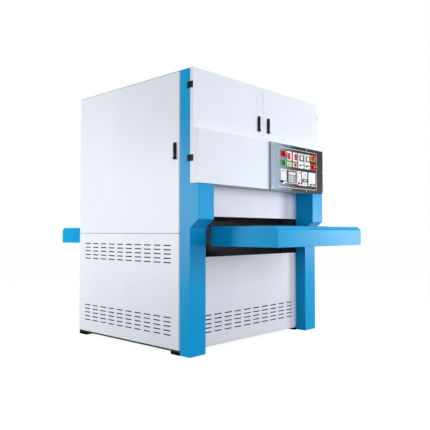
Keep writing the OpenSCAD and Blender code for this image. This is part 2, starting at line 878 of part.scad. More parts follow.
module side_plate_outline() {
    difference() {
        polygon([[plate_front_y, rail_top], [frame_y1 - tube_w / 4, rail_top],
            [frame_y1 - tube_w / 4, roof_z - tube_w - clear_gap],
            [plate_step_y, roof_z - tube_w - clear_gap],
            [plate_step_y, plate_step_z], [plate_front_y, plate_step_z]]);
        for (p = [[contact_y, contact_z], [contact_y, tension_z], [brush_y, brush_z],
                [main_motor_y, main_motor_z], [brush_motor_y, brush_motor_z]])
            translate(p) circle(d = head_shaft_d + 5 * clear_gap);
        for (p = [[hold_front_y, hold_z], [hold_rear_y, hold_z]])
            translate(p) circle(d = hold_shaft_d + 5 * clear_gap);
        translate([body_shift - screw_y * 0.6, rail_top + 4 * sprocket_t + gearbox_h])
            square([screw_y * 1.2, skirt_h * 2.6]);
    }
}

module side_plates() {
    color("#5b6066") both_sides() across(plate_x, plate_x + plate_t) side_plate_outline();
}

// A flanged bearing housing on the outside of a side plate
module flange_bearing(d, y, z) {
    difference() {
        union() {
            bar_x(d * 2, bearing_x0, bearing_x0 + bearing_l, y, z);
            bar_x(d * 2.7, bearing_x0, bearing_x0 + bearing_l / 3, y, z);
        }
        bar_x(d + 2 * run_gap, bearing_x0 - cut, bearing_x0 + bearing_l + cut, y, z);
    }
}

module head_bearings() {
    color("#3f5f86")
        both_sides() {
            for (p = [[contact_y, contact_z], [contact_y, tension_z], [brush_y, brush_z]])
                flange_bearing(head_shaft_d, p[0], p[1]);
            for (y = [hold_front_y, hold_rear_y]) flange_bearing(hold_shaft_d, y, hold_z);
        }
}

// A grooved pulley along X, centred on the X axis and starting at x = 0
module pulley(d, bore) {
    r = d / 2;
    rim = pulley_w / 6;
    rotate([0, 90, 0])
        rotate_extrude()
            polygon([[bore / 2, 0], [r, 0], [r, rim], [r - groove_d, pulley_w * 0.35],
                [r - groove_d, pulley_w * 0.65], [r, pulley_w - rim], [r, pulley_w],
                [bore / 2, pulley_w]]);
}

// A roller with its shaft; the drive end carries a pulley on side +1 or -1, or none at 0
module head_roller(d, shaft, y, z, drive) {
    end = bearing_x0 + bearing_l;
    bar_x(d, -roller_len / 2, roller_len / 2, y, z);
    bar_x(shaft, drive < 0 ? -pulley_x0 - pulley_w : -end, drive > 0 ? pulley_x0 + pulley_w : end,
        y, z);
    if (drive != 0)
        translate([drive > 0 ? pulley_x0 : -pulley_x0 - pulley_w, y, z])
            pulley(roller_pulley_d, shaft - clear_gap);
}

module contact_roller() {
    color("#34373b") head_roller(contact_d, head_shaft_d, contact_y, contact_z, 1);
}

module tension_roller() {
    end = bearing_x0 + bearing_l;
    color("#b9bdc1") {
        tube_roller(tension_d, roller_len, contact_y, tension_z);
        bar_x(head_shaft_d, -end, end, contact_y, tension_z);
    }
}

// The brush: a core with rings of abrasive flaps side by side
module brush_roller() {
    rings = 30;
    pitch = roller_len / rings;
    color("#7a4a2c") {
        head_roller(brush_d * 0.7, head_shaft_d, brush_y, brush_z, -1);
        for (i = [0 : rings - 1])
            bar_x(brush_d, -roller_len / 2 + i * pitch, -roller_len / 2 + (i + 0.7) * pitch,
                brush_y, brush_z);
    }
}

module front_hold_down() {
    color("#34373b") head_roller(hold_d, hold_shaft_d, hold_front_y, hold_z, 0);
}

module rear_hold_down() {
    color("#34373b") head_roller(hold_d, hold_shaft_d, hold_rear_y, hold_z, 0);
}

module abrasive_belt() {
    color("#8a3b2a")
        across(-abrasive_w / 2, abrasive_w / 2)
            belt_loop(contact_d / 2 + seat_gap, tension_d / 2 + seat_gap,
                [contact_y, contact_z], [contact_y, tension_z], abrasive_t);
}

// A ribbed motor along X with its flange against a side plate
module motor(d, len, y, z) {
    ribs = 20;
    bar_x(d * 0.9, plate_x - len * 0.85, plate_x - sheet_t, y, z);
    bar_x(d, plate_x - len * 0.08, plate_x, y, z);
    bar_x(d * 0.86, plate_x - len, plate_x - len * 0.84, y, z);
    for (i = [0 : ribs - 1])
        translate([plate_x - len * 0.8, y, z]) rotate([i * 360 / ribs, 0, 0])
            translate([0, -d / 90, d * 0.4]) cube([len * 0.7, d / 45, d * 0.09]);
    box(plate_x - len * 0.6, plate_x - len * 0.3, y - d * 0.22, y + d * 0.22,
        z + d * 0.4, z + d * 0.62);
}

module head_motors() {
    shaft = head_shaft_d * 0.7;
    color("#51708f") {
        difference() {
            motor(main_motor_d, main_motor_len, main_motor_y, main_motor_z);
            bar_x(shaft + 2 * run_gap, plate_x - plate_t * 2, plate_x + cut,
                main_motor_y, main_motor_z);
        }
        mirror([1, 0, 0]) difference() {
            motor(brush_motor_d, brush_motor_len, brush_motor_y, brush_motor_z);
            bar_x(shaft + 2 * run_gap, plate_x - plate_t * 2, plate_x + cut,
                brush_motor_y, brush_motor_z);
        }
    }
}

module motor_pulley(d, y, z) {
    shaft = head_shaft_d * 0.7;
    bar_x(shaft, plate_x - plate_t * 2 + clear_gap, pulley_x0 + pulley_w, y, z);
    translate([pulley_x0, y, z]) pulley(d, shaft - clear_gap);
}

module abrasive_motor_pulley() {
    color("#4a4d51") motor_pulley(main_pulley_d, main_motor_y, main_motor_z);
}

module brush_motor_pulley() {
    color("#4a4d51") mirror([1, 0, 0])
        motor_pulley(brush_pulley_d, brush_motor_y, brush_motor_z);
}

module drive_belts() {
    half_groove = pulley_w * 0.15;
    x = pulley_x0 + pulley_w / 2;
    inset = groove_d - seat_gap;
    color("#202124") {
        across(x - half_groove + seat_gap, x + half_groove - seat_gap)
            belt_loop(roller_pulley_d / 2 - inset, main_pulley_d / 2 - inset,
                [contact_y, contact_z], [main_motor_y, main_motor_z], groove_d / 2);
        across(-x - half_groove + seat_gap, -x + half_groove - seat_gap)
            belt_loop(roller_pulley_d / 2 - inset, brush_pulley_d / 2 - inset,
                [brush_y, brush_z], [brush_motor_y, brush_motor_z], groove_d / 2);
    }
}

// Conveyor bed

module bed_frame() {
    tie_count = 7;
    end_y = roller_y - end_roller_r - clear_gap;
    color("#6d7278")
        difference() {
            union() {
                both_sides() {
                    difference() {
                        box(bed_x - beam_w, bed_x, -block_y0, block_y0, beam_z0, beam_z1);
                        box(bed_x - beam_w - cut, bed_x - channel_t, -block_y0 + channel_t,
                            block_y0 - channel_t, beam_z0 + channel_t, beam_z1 - channel_t);
                    }
                    for (y = [-screw_y, screw_y])
                        box(bed_x - cut, screw_x + screw_d / 2 + 4 * clear_gap,
                            body_shift + y - bracket_len / 2, body_shift + y + bracket_len / 2,
                            beam_z0 + clear_gap, beam_z0 + clear_gap + bracket_h);
                }
                for (i = [0 : tie_count - 1])
                    bed_tie(-end_y + i * (2 * end_y - tie_w) / (tie_count - 1));
                box(-belt_w / 2, belt_w / 2, -end_y, end_y,
                    belt_inner_top - slider_t - seat_gap, belt_inner_top - seat_gap);
            }
            for (x = [-screw_x, screw_x], y = [-screw_y, screw_y])
                translate([x, body_shift + y, beam_z0 - cut])
                    cylinder(d = screw_d + 2 * run_gap, h = beam_h + 2 * cut);
        }
}

// A channel across the bed, open below, that carries the slider plate
module bed_tie(y) {
    z1 = belt_inner_top - slider_t;
    difference() {
        box(-bed_x + cut, bed_x - cut, y, y + tie_w, z1 - tie_h, z1);
        box(-bed_x + beam_w, bed_x - beam_w, y + channel_t, y + tie_w - channel_t,
            z1 - tie_h - cut, z1 - channel_t);
    }
}

// Side outline of a table with its slanted nose, moved inwards by i; the nose faces -Y
function table_outline(i, inner_y, low) = [
    [inner_y, low],
    [-nose_y + i, low],
    [-nose_y + i, table_top - nose_slant - i * (sqrt(2) - 1)],
    [-nose_y + nose_slant + i * (sqrt(2) - 1), table_top - i],
    [inner_y, table_top - i]
];

module table(inner_y) {
    belt_slot = belt_w / 2 + clear_gap;
    color("#1e9ae0")
        difference() {
            across(-table_x, table_x)
                polygon(table_outline(0, inner_y, table_top - skirt_h));
            across(-table_x + table_t, table_x - table_t)
                polygon(table_outline(table_t, inner_y + cut, table_top - skirt_h - cut));
            box(-belt_slot, belt_slot, -belt_end_y - clear_gap, inner_y + cut,
                table_top - table_t - cut, table_top + cut);
        }
}

module front_table() { table(front_skirt_end); }

module rear_table() {
    difference() {
        rotate([0, 0, 180]) table(-rear_skirt_end);
        bar_x(end_shaft_d + 4 * clear_gap, table_x - table_t - cut, table_x + cut,
            roller_y, roller_z);
    }
}

module conveyor_belt() {
    color("#4b4745")
        across(-belt_w / 2, belt_w / 2)
            belt_loop(end_roller_r + seat_gap, end_roller_r + seat_gap,
                [-roller_y, roller_z], [roller_y, roller_z], belt_t);
}

// Bearing blocks at the ends of the bed beams
module roller_bearings() {
    block_h = 70;
    color("#8e9398")
        both_sides() for (side = [-1, 1])
            difference() {
                box(bed_x - beam_w, bed_x, side > 0 ? block_y0 : -block_y0 - block_len,
                    side > 0 ? block_y0 + block_len : -block_y0,
                    roller_z - block_h / 2, roller_z + block_h / 2);
                bar_x(end_shaft_d + 2 * run_gap, bed_x - beam_w - cut, bed_x + cut,
                    side * roller_y, roller_z);
            }
}

// A steel tube along X with a solid web in the middle and deep recesses at both ends
module tube_roller(d, len, y, z) {
    wall = d * 0.08;
    web_share = 0.12;
    translate([-len / 2, y, z]) rotate([0, 90, 0])
        rotate_extrude()
            polygon([[0, 0], [d * 0.16, 0], [d * 0.16, len * (0.5 - web_share / 2)],
                [d / 2 - wall, len * (0.5 - web_share / 2)], [d / 2 - wall, 0], [d / 2, 0],
                [d / 2, len], [d / 2 - wall, len], [d / 2 - wall, len * (0.5 + web_share / 2)],
                [d * 0.16, len * (0.5 + web_share / 2)], [d * 0.16, len], [0, len]]);
}

module end_roller(side, drive) {
    tube_roller(end_roller_d, belt_w, side * roller_y, roller_z);
    bar_x(end_shaft_d, -bed_x, drive ? table_x + seat_gap + conveyor_box_w() : bed_x,
        side * roller_y, roller_z);
}

module drive_roller() { color("#c3c7cb") end_roller(1, true); }

module idler_roller() { color("#c3c7cb") end_roller(-1, false); }

function conveyor_box_w() = conveyor_motor_d + 2 * clear_gap;

// Worm gearmotor on the drive roller's shaft, outside the right skirt
module conveyor_gearmotor() {
    x0 = table_x + seat_gap;
    box_h = 110;
    motor_d = conveyor_motor_d;
    motor_len = 190;
    mid = x0 + conveyor_box_w() / 2;
    color("#51708f")
        difference() {
            union() {
                box(x0, x0 + conveyor_box_w(), roller_y - box_h / 2, roller_y + box_h / 2,
                    roller_z - box_h / 2, roller_z + box_h / 2);
                bar_y(motor_d * 0.9, roller_y - box_h / 2 - motor_len, roller_y, mid,
                    roller_z - motor_d * 0.1);
                for (i = [0 : 4])
                    bar_y(motor_d, roller_y - box_h / 2 - motor_len * (0.9 - i * 0.18),
                        roller_y - box_h / 2 - motor_len * (0.8 - i * 0.18), mid,
                        roller_z - motor_d * 0.1);
            }
            bar_x(end_shaft_d + 2 * run_gap, x0 - cut, x0 + conveyor_box_w() + cut,
                roller_y, roller_z);
        }
}

// Bed lift: screws with sprockets, one chain round all four, one worm gearmotor

module sprocket() {
    tip = sprocket_d / 2;
    root = tip * 0.88;
    step = 360 / sprocket_teeth;
    linear_extrude(sprocket_t)
        polygon([for (i = [0 : sprocket_teeth - 1], k = [0 : 3])
            let (a = step * (i + [0, 0.35, 0.5, 0.85][k]), r = k < 2 ? root : tip)
            [r * cos(a), r * sin(a)]]);
}

module lift_screw(sx, sy) {
    color("#a7abb0")
        translate([sx * screw_x, body_shift + sy * screw_y, 0]) {
            translate([0, 0, foot_h + clear_gap])
                cylinder(d = journal_d, h = rail_h);
            translate([0, 0, rail_top + seat_gap])
                cylinder(d = screw_d, h = screw_top_z - rail_top - seat_gap);
            translate([0, 0, sprocket_z]) sprocket();
        }
}

module front_left_screw() { lift_screw(-1, -1); }

module front_right_screw() { lift_screw(1, -1); }

module rear_left_screw() { lift_screw(-1, 1); }

module rear_right_screw() { lift_screw(1, 1); }

module chain_outline(r) {
    for (x = [-screw_x, screw_x], y = [-screw_y, screw_y]) translate([x, y]) circle(r);
    square([2 * screw_x, 2 * (screw_y + r)], center = true);
    square([2 * (screw_x + r), 2 * screw_y], center = true);
}

module lift_chain() {
    r = sprocket_d / 2 + seat_gap;
    color("#55585c")
        translate([0, body_shift, sprocket_z + (sprocket_t - chain_h) / 2])
            linear_extrude(chain_h)
                difference() {
                    chain_outline(r + chain_t);
                    chain_outline(r);
                }
}

module lift_motor() {
    motor_d = 90;
    motor_len = 220;
    x1 = screw_x - gearbox_w / 2;
    y = body_shift - screw_y;
    z = rail_top + gearbox_h / 2 + 2 * clear_gap;
    color("#51708f")
        difference() {
            union() {
                box(x1, x1 + gearbox_w, y - gearbox_w / 2, y + gearbox_w / 2,
                    rail_top, rail_top + gearbox_h);
                bar_x(motor_d * 0.78, x1 - motor_len, x1 + cut, y, z);
                for (i = [0 : 5])
                    bar_x(motor_d * 0.85, x1 - motor_len * (0.9 - i * 0.15),
                        x1 - motor_len * (0.82 - i * 0.15), y, z);
            }
            translate([screw_x, y, rail_top - cut])
                cylinder(d = screw_d + 2 * run_gap, h = gearbox_h + 2 * cut);
        }
}

// Cable gland low on the rear, where the supply cable enters

function gland_d() = 40;
function gland_x() = -body_w * 0.4;
function gland_z() = front_panel_top * 0.85;

module cable_gland() {
    inner = gland_d() * 0.55;
    nut_d = gland_d() * 1.45;
    nut_t = gland_d() * 0.3;
    color("#2a2b2d")
        difference() {
            union() {
                bar_y(gland_d() - seat_gap, body_back_y - fold_d / 2, body_back_y + nut_t,
                    gland_x(), gland_z());
                translate([gland_x(), body_back_y, gland_z()]) rotate([-90, 0, 0])
                    cylinder(d = nut_d, h = nut_t, $fn = 6);
                bar_y(gland_d(), body_back_y, body_back_y + gland_d() * 0.8, gland_x(), gland_z());
            }
            bar_y(inner, body_back_y - fold_d, body_back_y + gland_d(), gland_x(), gland_z());
        }
}

// Control panel

module control_plate() {
    stems = [field_point(stop_column_share, top_row_share),
        field_point(stop_column_share, second_row_share),
        field_point(selector_column_share, top_row_share),
        field_point(selector_column_share, second_row_share),
        field_point(first_button_column_share, button_row_share),
        field_point(second_button_column_share, button_row_share),
        field_point(knob_column_share, knob_row_share)];
    color("#4c5052")
        difference() {
            box(panel_x, panel_x + panel_w, panel_y, box_front_y - seat_gap, door_z, box_top_z);
            box(panel_x + sheet_t, panel_x + panel_w - sheet_t, panel_y + sheet_t,
                box_front_y + cut, door_z + sheet_t, box_top_z - sheet_t);
            for (p = stems)
                bar_y(stem_d + 2 * run_gap, panel_y - cut, panel_y + sheet_t + cut, p[0], p[1]);
        }
}

// A frame on the panel at a place, with a width and a height, all shares of the field;
// its thickness is a share of the frame thickness
module field_frame(x_share, z_share, w_share, h_share, t_share) {
    p = field_point(x_share, z_share);
    w = w_share * field_w;
    h = h_share * field_h;
    box(p[0] - w / 2, p[0] + w / 2, panel_y - t_share * frame_t, panel_y, p[1] - h / 2, p[1] + h / 2);
}

module stem_hole(x_share, z_share) {
    p = field_point(x_share, z_share);
    bar_y(stem_d + 2 * run_gap, panel_y - 2 * frame_t, panel_y + cut, p[0], p[1]);
}

// A round lamp or knob that stands on a frame
module lamp(x_share, z_share, d_share) {
    p = field_point(x_share, z_share);
    bar_y(button_d * d_share, panel_y - frame_t - button_out, panel_y - frame_t / 2, p[0], p[1]);
}

module panel_instruments() {
    // Columns: place across, place up, width and height, as shares of the field
    plain_shares = [[0.253, 0.827, 0.114, 0.246], [0.406, 0.822, 0.118, 0.246],
        [0.565, 0.741, 0.146, 0.409], [0.740, 0.744, 0.155, 0.405],
        [0.308, 0.269, 0.336, 0.365], [0.527, 0.259, 0.077, 0.395],
        [0.665, 0.256, 0.144, 0.392], [0.873, 0.262, 0.198, 0.385]];
    bored_shares = [[selector_column_share, top_row_share, 0.127, 0.156],
        [selector_column_share, second_row_share, 0.127, 0.156],
        [first_button_column_share, button_row_share, 0.114, 0.12],
        [second_button_column_share, button_row_share, 0.118, 0.12],
        [stop_column_share, top_row_share, 0.138, 0.159],
        [stop_column_share, second_row_share, 0.138, 0.159]];
    display_shares = [[0.24, 0.82, 0.069, 0.172], [0.420, 0.824, 0.067, 0.172],
        [0.575, 0.82, 0.105, 0.17], [0.755, 0.82, 0.12, 0.163],
        [0.310, 0.269, 0.262, 0.336], [0.668, 0.206, 0.138, 0.096]];
    lamp_shares = [[0.570, 0.625, 0.8], [0.641, 0.625, 0.8], [0.744, 0.628, 0.8],
        [0.820, 0.628, 0.8], [0.114, 0.123, 0.8], [0.567, 0.12, 0.8], [0.870, 0.12, 0.8],
        [0.957, 0.123, 0.8], [0.529, 0.61, 0.6], [0.706, 0.61, 0.6], [0.827, 0.106, 0.6],
        [0.917, 0.103, 0.6], [0.496, 0.11, 0.7]];
    color("#e6e7e8") {
        difference() {
            union() {
                for (s = plain_shares) field_frame(s[0], s[1], s[2], s[3], 1);
                for (s = bored_shares) field_frame(s[0], s[1], s[2], s[3], 1);
                field_frame(0.08, 0.259, 0.075 * 1.35, 0.395, 1);
            }
            for (s = bored_shares) stem_hole(s[0], s[1]);
            stem_hole(knob_column_share, knob_row_share);
        }
        for (s = display_shares) field_frame(s[0], s[1], s[2], s[3], 1.8);
        for (s = lamp_shares) lamp(s[0], s[1], s[2]);
    }
}

// A stem from the front of a frame through the plate
module stem(p, out) {
    bar_y(stem_d, panel_y - frame_t - out, panel_y + sheet_t + clear_gap, p[0], p[1]);
}

module emergency_stop() {
    p = field_point(stop_column_share, top_row_share);
    collar = button_travel + clear_gap;
    front = panel_y - frame_t - collar;
    color("#c9202a") {
        stem(p, collar + cut);
        translate([p[0], front, p[1]]) rotate([90, 0, 0])
            rotate_extrude()
                polygon([[0, 0], [mushroom_d * 0.36, 0], [mushroom_d / 2, mushroom_d * 0.12],
                    [mushroom_d / 2, mushroom_d * 0.26], [mushroom_d * 0.42, mushroom_d * 0.36],
                    [mushroom_d * 0.24, mushroom_d * 0.42], [0, mushroom_d * 0.44]]);
    }
}

module isolator_handle() {
    p = field_point(stop_column_share, second_row_share);
    hub = button_d;
    color("#c9202a") {
        stem(p, clear_gap);
        bar_y(hub, panel_y - frame_t - seat_gap - 2 * button_out, panel_y - frame_t - seat_gap,
            p[0], p[1]);
        translate([p[0], panel_y - frame_t - seat_gap, p[1]]) rotate([90, 0, 0])
            linear_extrude(1.6 * button_out) {
                translate([-isolator_len * 0.25, -hub * 0.2])
                    square([isolator_len * 0.8, hub * 0.4]);
                translate([isolator_len * 0.55, 0]) circle(d = hub * 0.6);
            }
    }
}

// A selector or knob: a round skirt with a raised bar across it
module selector(p, d) {
    stem(p, clear_gap);
    bar_y(d, panel_y - frame_t - seat_gap - button_out * 0.8, panel_y - frame_t - seat_gap,
        p[0], p[1]);
    box(p[0] - d * 0.12, p[0] + d * 0.12, panel_y - frame_t - seat_gap - 2 * button_out,
        panel_y - frame_t - seat_gap - cut, p[1] - d * 0.46, p[1] + d * 0.46);
}

module red_selector() {
    color("#c9202a") selector(field_point(selector_column_share, top_row_share), button_d * 1.3);
}

module green_selector() {
    color("#2f9e3c")
        selector(field_point(selector_column_share, second_row_share), button_d * 1.3);
}

module push_button(p) {
    stem(p, button_travel + clear_gap);
    bar_y(button_d, panel_y - frame_t - button_out, panel_y - frame_t - button_travel - seat_gap,
        p[0], p[1]);
}

module start_button() {
    color("#a9d63a") push_button(field_point(first_button_column_share, button_row_share));
}

module stop_button() {
    color("#d0232c") push_button(field_point(second_button_column_share, button_row_share));
}

module speed_knob() {
    color("#1d1f2c") selector(field_point(knob_column_share, knob_row_share), button_d * 0.7);
}

base_frame();
feet();
left_column();
right_column();
left_vent_panel();
right_vent_panel();
top_cover();
front_header();
front_vent_panel();
rear_upper_cover();
rear_vent_panel();
side_plates();
cabinet_shell();
electrical_gear();
head_motors();
head_bearings();
abrasive_belt();
drive_belts();
lift_motor();
lift_chain();
fixed_hinge_leaves();
cable_gland();
bed_frame();
front_table();
rear_table();
conveyor_belt();
roller_bearings();
conveyor_gearmotor();
drive_roller();
idler_roller();
contact_roller();
tension_roller();
brush_roller();
front_hold_down();
rear_hold_down();
abrasive_motor_pulley();
brush_motor_pulley();
front_left_screw();
front_right_screw();
rear_left_screw();
rear_right_screw();
left_front_door();
right_front_door();
left_door_leaves();
right_door_leaves();
left_side_door();
right_side_door();
left_front_handle();
right_front_handle();
left_side_handle();
right_side_handle();
control_plate();
panel_instruments();
emergency_stop();
isolator_handle();
red_selector();
green_selector();
start_button();
stop_button();
speed_knob();
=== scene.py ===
"""Visual model of a wide-belt deburring machine for sheet metal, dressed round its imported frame.

Metres, +X to the right seen from the infeed table, +Y through the machine, +Z up.
"""

import json
import logging
import math
from collections.abc import Callable, Iterable
from dataclasses import dataclass, field, replace
from enum import Enum
from typing import ClassVar

import bmesh
import bpy
from mathutils import Matrix, Vector

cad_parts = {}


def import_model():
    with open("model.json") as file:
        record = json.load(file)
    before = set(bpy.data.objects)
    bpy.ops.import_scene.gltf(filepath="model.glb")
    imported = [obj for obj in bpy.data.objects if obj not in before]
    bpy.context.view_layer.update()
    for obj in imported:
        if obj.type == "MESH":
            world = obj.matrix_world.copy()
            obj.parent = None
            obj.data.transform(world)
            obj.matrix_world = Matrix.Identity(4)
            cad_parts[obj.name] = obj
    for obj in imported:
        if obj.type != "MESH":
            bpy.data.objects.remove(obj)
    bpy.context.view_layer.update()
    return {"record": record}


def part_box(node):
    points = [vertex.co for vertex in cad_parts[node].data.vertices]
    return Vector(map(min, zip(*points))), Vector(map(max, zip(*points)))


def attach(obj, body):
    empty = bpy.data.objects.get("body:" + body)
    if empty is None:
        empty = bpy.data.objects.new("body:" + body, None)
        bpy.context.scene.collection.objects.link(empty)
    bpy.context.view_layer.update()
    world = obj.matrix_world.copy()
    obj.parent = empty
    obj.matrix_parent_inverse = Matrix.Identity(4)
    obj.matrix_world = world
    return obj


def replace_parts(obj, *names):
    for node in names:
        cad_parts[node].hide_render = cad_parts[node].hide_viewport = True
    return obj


MM = 0.001
FACING = 0.9  # a unit normal with more than this along an axis faces that way
FACE_TOLERANCE = 1e-6
CROWN_SHARE = 0.45  # how far a plate's face stands out, as a share of its edge radius
DOME_SHARES = (0.12, 0.22, 0.4)  # the three steps of a button's crown, as shares of its radius
DOME_STEP_SHARE = 0.8
DOME_RISE_SHARE = 0.12
DRILL_OVERRUN = 10 * MM
DRILL_LENGTH = 60 * MM
MERGE_DISTANCE = 0.01 * MM
FLAT_ANGLE = 0.5  # degrees
SHARP_ANGLE = 35  # degrees
CORNER_SEGMENTS = 4
LOG = logging.getLogger("deburring_machine")


# Shading helpers


def linear(colour: str) -> tuple[float, float, float, float]:
    """Turns an sRGB hex colour into linear light.

    Args:
        colour: six hex digits after a hash.

    Returns:
        Red, green, blue and alpha from 0 to 1.
    """
    channels = [int(colour[i:i + 2], 16) / 255 for i in (1, 3, 5)]
    red, green, blue = (c / 12.92 if c <= 0.04045 else ((c + 0.055) / 1.055) ** 2.4 for c in channels)
    return red, green, blue, 1.0


def add_node(tree: bpy.types.NodeTree, kind: str, settings: dict | None = None,
             **sockets: object) -> bpy.types.Node:
    """Adds one shader node with its settings and links.

    Args:
        tree: the node tree that gets the node.
        kind: Blender's type name of the node, without ShaderNode in front.
        settings: attributes of the node by name.
        **sockets: a value or an output socket for each input, with _ for a space in its name.

    Returns:
        The new node.
    """
    node = tree.nodes.new("ShaderNode" + kind)
    for name, value in (settings or {}).items():
        setattr(node, name, value)
    for name, value in sockets.items():
        wanted = name.replace("_", " ")
        socket = next(s for s in node.inputs if s.name == wanted and s.enabled)
        if isinstance(value, bpy.types.NodeSocket):
            tree.links.new(value, socket)
        else:
            socket.default_value = value
    return node


def per_mm(size: float) -> float:
    """The texture scale that repeats once in a size given in millimetres."""
    return 1 / (size * MM)


class Run(Enum):
    """The direction in which a finish was ground or brushed, as stretches of X, Y and Z."""

    ACROSS = (0.02, 1.0, 1.0)
    UP = (1.0, 1.0, 0.02)


@dataclass(frozen=True)
class Grain:
    """The pattern that the making leaves on a surface, and how it catches the light.

    The size of the pattern and its depth are in millimetres. The spread is how far it moves the roughness.
    """

    kind: str
    size: float
    spread: float
    depth: float
    strength: float
    settings: dict[str, str] = field(default_factory=dict)
    sockets: dict[str, float] = field(default_factory=dict)

    @property
    def output(self) -> str:
        """The name of the pattern's output socket."""
        return "Distance" if self.kind == "Voronoi" else "Fac"


@dataclass
class Surface:
    """A material while it is made: its node tree, its Principled shader and the Object coordinates."""

    tree: bpy.types.NodeTree
    shader: bpy.types.Node
    coords: bpy.types.NodeSocket

    def level(self, **values: object) -> None:
        """Sets inputs of the shader to even values, with _ for a space in their names."""
        for name, value in values.items():
            self.shader.inputs[name.replace("_", " ")].default_value = value

    def feed(self, source: bpy.types.NodeSocket, name: str) -> None:
        """Links a socket to an input of the shader."""
        self.tree.links.new(source, self.shader.inputs[name])

    def texture(self, kind: str, size: float, settings: dict | None = None, **sockets: object) -> bpy.types.Node:
        """Adds a pattern that repeats once in a size.

        Args:
            kind: Blender's type name of the texture node, without Tex in front.
            size: the size in millimetres.
            settings: attributes of the node by name.
            **sockets: its other inputs, also Vector where it isn't the Object coordinates.

        Returns:
            The texture node.
        """
        inputs = {"Vector": self.coords, "Scale": per_mm(size), **sockets}
        return add_node(self.tree, "Tex" + kind, settings, **inputs)


@dataclass(frozen=True)
class Finish:
    """What a surface is and how it was made, as one Blender material."""

    name: str
    colour: str
    roughness: float = 0.5

    grain: ClassVar[Grain]
    cloud_ends: ClassVar[tuple[float, float]] = (0.35, 0.65)

    def material(self) -> bpy.types.Material:
        """Gives the material of this finish, made once.

        Returns:
            The material.
        """
        found = bpy.data.materials.get(self.name)
        if found:
            return found
        made = bpy.data.materials.new(self.name)
        made.use_nodes = True
        tree = made.node_tree
        surface = Surface(tree, tree.nodes["Principled BSDF"], add_node(tree, "TexCoord").outputs["Object"])
        surface.level(Base_Color=linear(self.colour), Roughness=self.roughness)
        self.shade(surface)
        return made

    def shade(self, surface: Surface) -> None:
        """Adds what is special to the finish, which is its grain at least.

        Args:
            surface: the material while it is made.
        """
        self.wear(surface, self.grain.size)

    def cloud(self, surface: Surface, other: str, size: float, **sockets: object) -> None:
        """Lets the colour drift softly between two shades.

        Args:
            surface: the material while it is made.
            other: the second shade in hex.
            size: the size of a patch in millimetres.
            **sockets: other coordinates as Vector, where the patches are drawn out.
        """
        noise = surface.texture("Noise", size, Detail=3.0, **sockets)
        ramp = add_node(surface.tree, "ValToRGB", None, Fac=noise.outputs["Fac"])
        for stop, place, shade in zip(ramp.color_ramp.elements, self.cloud_ends, (self.colour, other)):
            stop.position = place
            stop.color = linear(shade)
        surface.feed(ramp.outputs["Color"], "Base Color")

    def wear(self, surface: Surface, size: float, **sockets: object) -> None:
        """Lets the grain move the roughness up and down and raise the surface.

        Args:
            surface: the material while it is made.
            size: the size of the grain in millimetres.
            **sockets: other coordinates as Vector, where the grain is drawn out.
        """
        grain = self.grain
        texture = surface.texture(grain.kind, size, grain.settings, **grain.sockets, **sockets)
        pattern = texture.outputs[grain.output]
        ranged = add_node(surface.tree, "MapRange", None, Value=pattern, To_Min=self.roughness - grain.spread,
                          To_Max=self.roughness + grain.spread)
        surface.feed(ranged.outputs["Result"], "Roughness")
        bump = add_node(surface.tree, "Bump", None, Height=pattern, Distance=grain.depth * MM,
                        Strength=grain.strength)
        surface.feed(bump.outputs["Normal"], "Normal")


@dataclass(frozen=True)
class TwoTone(Finish):
    """A finish whose colour drifts softly in patches of a size in millimetres."""

    shade_colour: str = "#808080"

    patch: ClassVar[float] = 100

    def shade(self, surface: Surface) -> None:
        """Adds the drift to the grain; see Finish.shade."""
        self.cloud(surface, self.shade_colour, self.patch)
        super().shade(surface)


@dataclass(frozen=True)
class PowderCoat(TwoTone):
    """Polyester powder baked on steel sheet: satin, with a fine orange peel and no brush marks."""

    shade_colour: str = "#E2E7F0"

    patch: ClassVar[float] = 420
    grain: ClassVar[Grain] = Grain("Noise", 2.6, spread=0.05, depth=0.02, strength=0.5, sockets={"Detail": 1.5})


@dataclass(frozen=True)
class DeepEnamel(PowderCoat):
    """Saturated powder coat: the same peel with a thin, weak shine, so that the pigment keeps its depth."""

    gloss: float = 0.22

    def shade(self, surface: Surface) -> None:
        """Adds the weaker shine to the powder coat; see Finish.shade."""
        super().shade(surface)
        surface.level(Specular_IOR_Level=self.gloss)


@dataclass(frozen=True)
class GroundSteel(Finish):
    """Steel ground or brushed in one direction: fine parallel scratches that streak the shine."""

    run: Run = Run.ACROSS
    scratch: float = 0.9
    dark: str = "#8C9197"

    scratches_in_patch: ClassVar[float] = 6
    grain: ClassVar[Grain] = Grain("Noise", 0.9, spread=0.1, depth=0.01, strength=0.35, sockets={"Detail": 4.0})

    def shade(self, surface: Surface) -> None:
        """Adds the scratches, drawn out along the run.

        Args:
            surface: the material while it is made.
        """
        surface.level(Metallic=1.0)
        drawn = add_node(surface.tree, "Mapping", None, Vector=surface.coords, Scale=self.run.value)
        along = drawn.outputs["Vector"]
        self.cloud(surface, self.dark, self.scratches_in_patch * self.scratch, Vector=along)
        self.wear(surface, self.scratch, Vector=along)


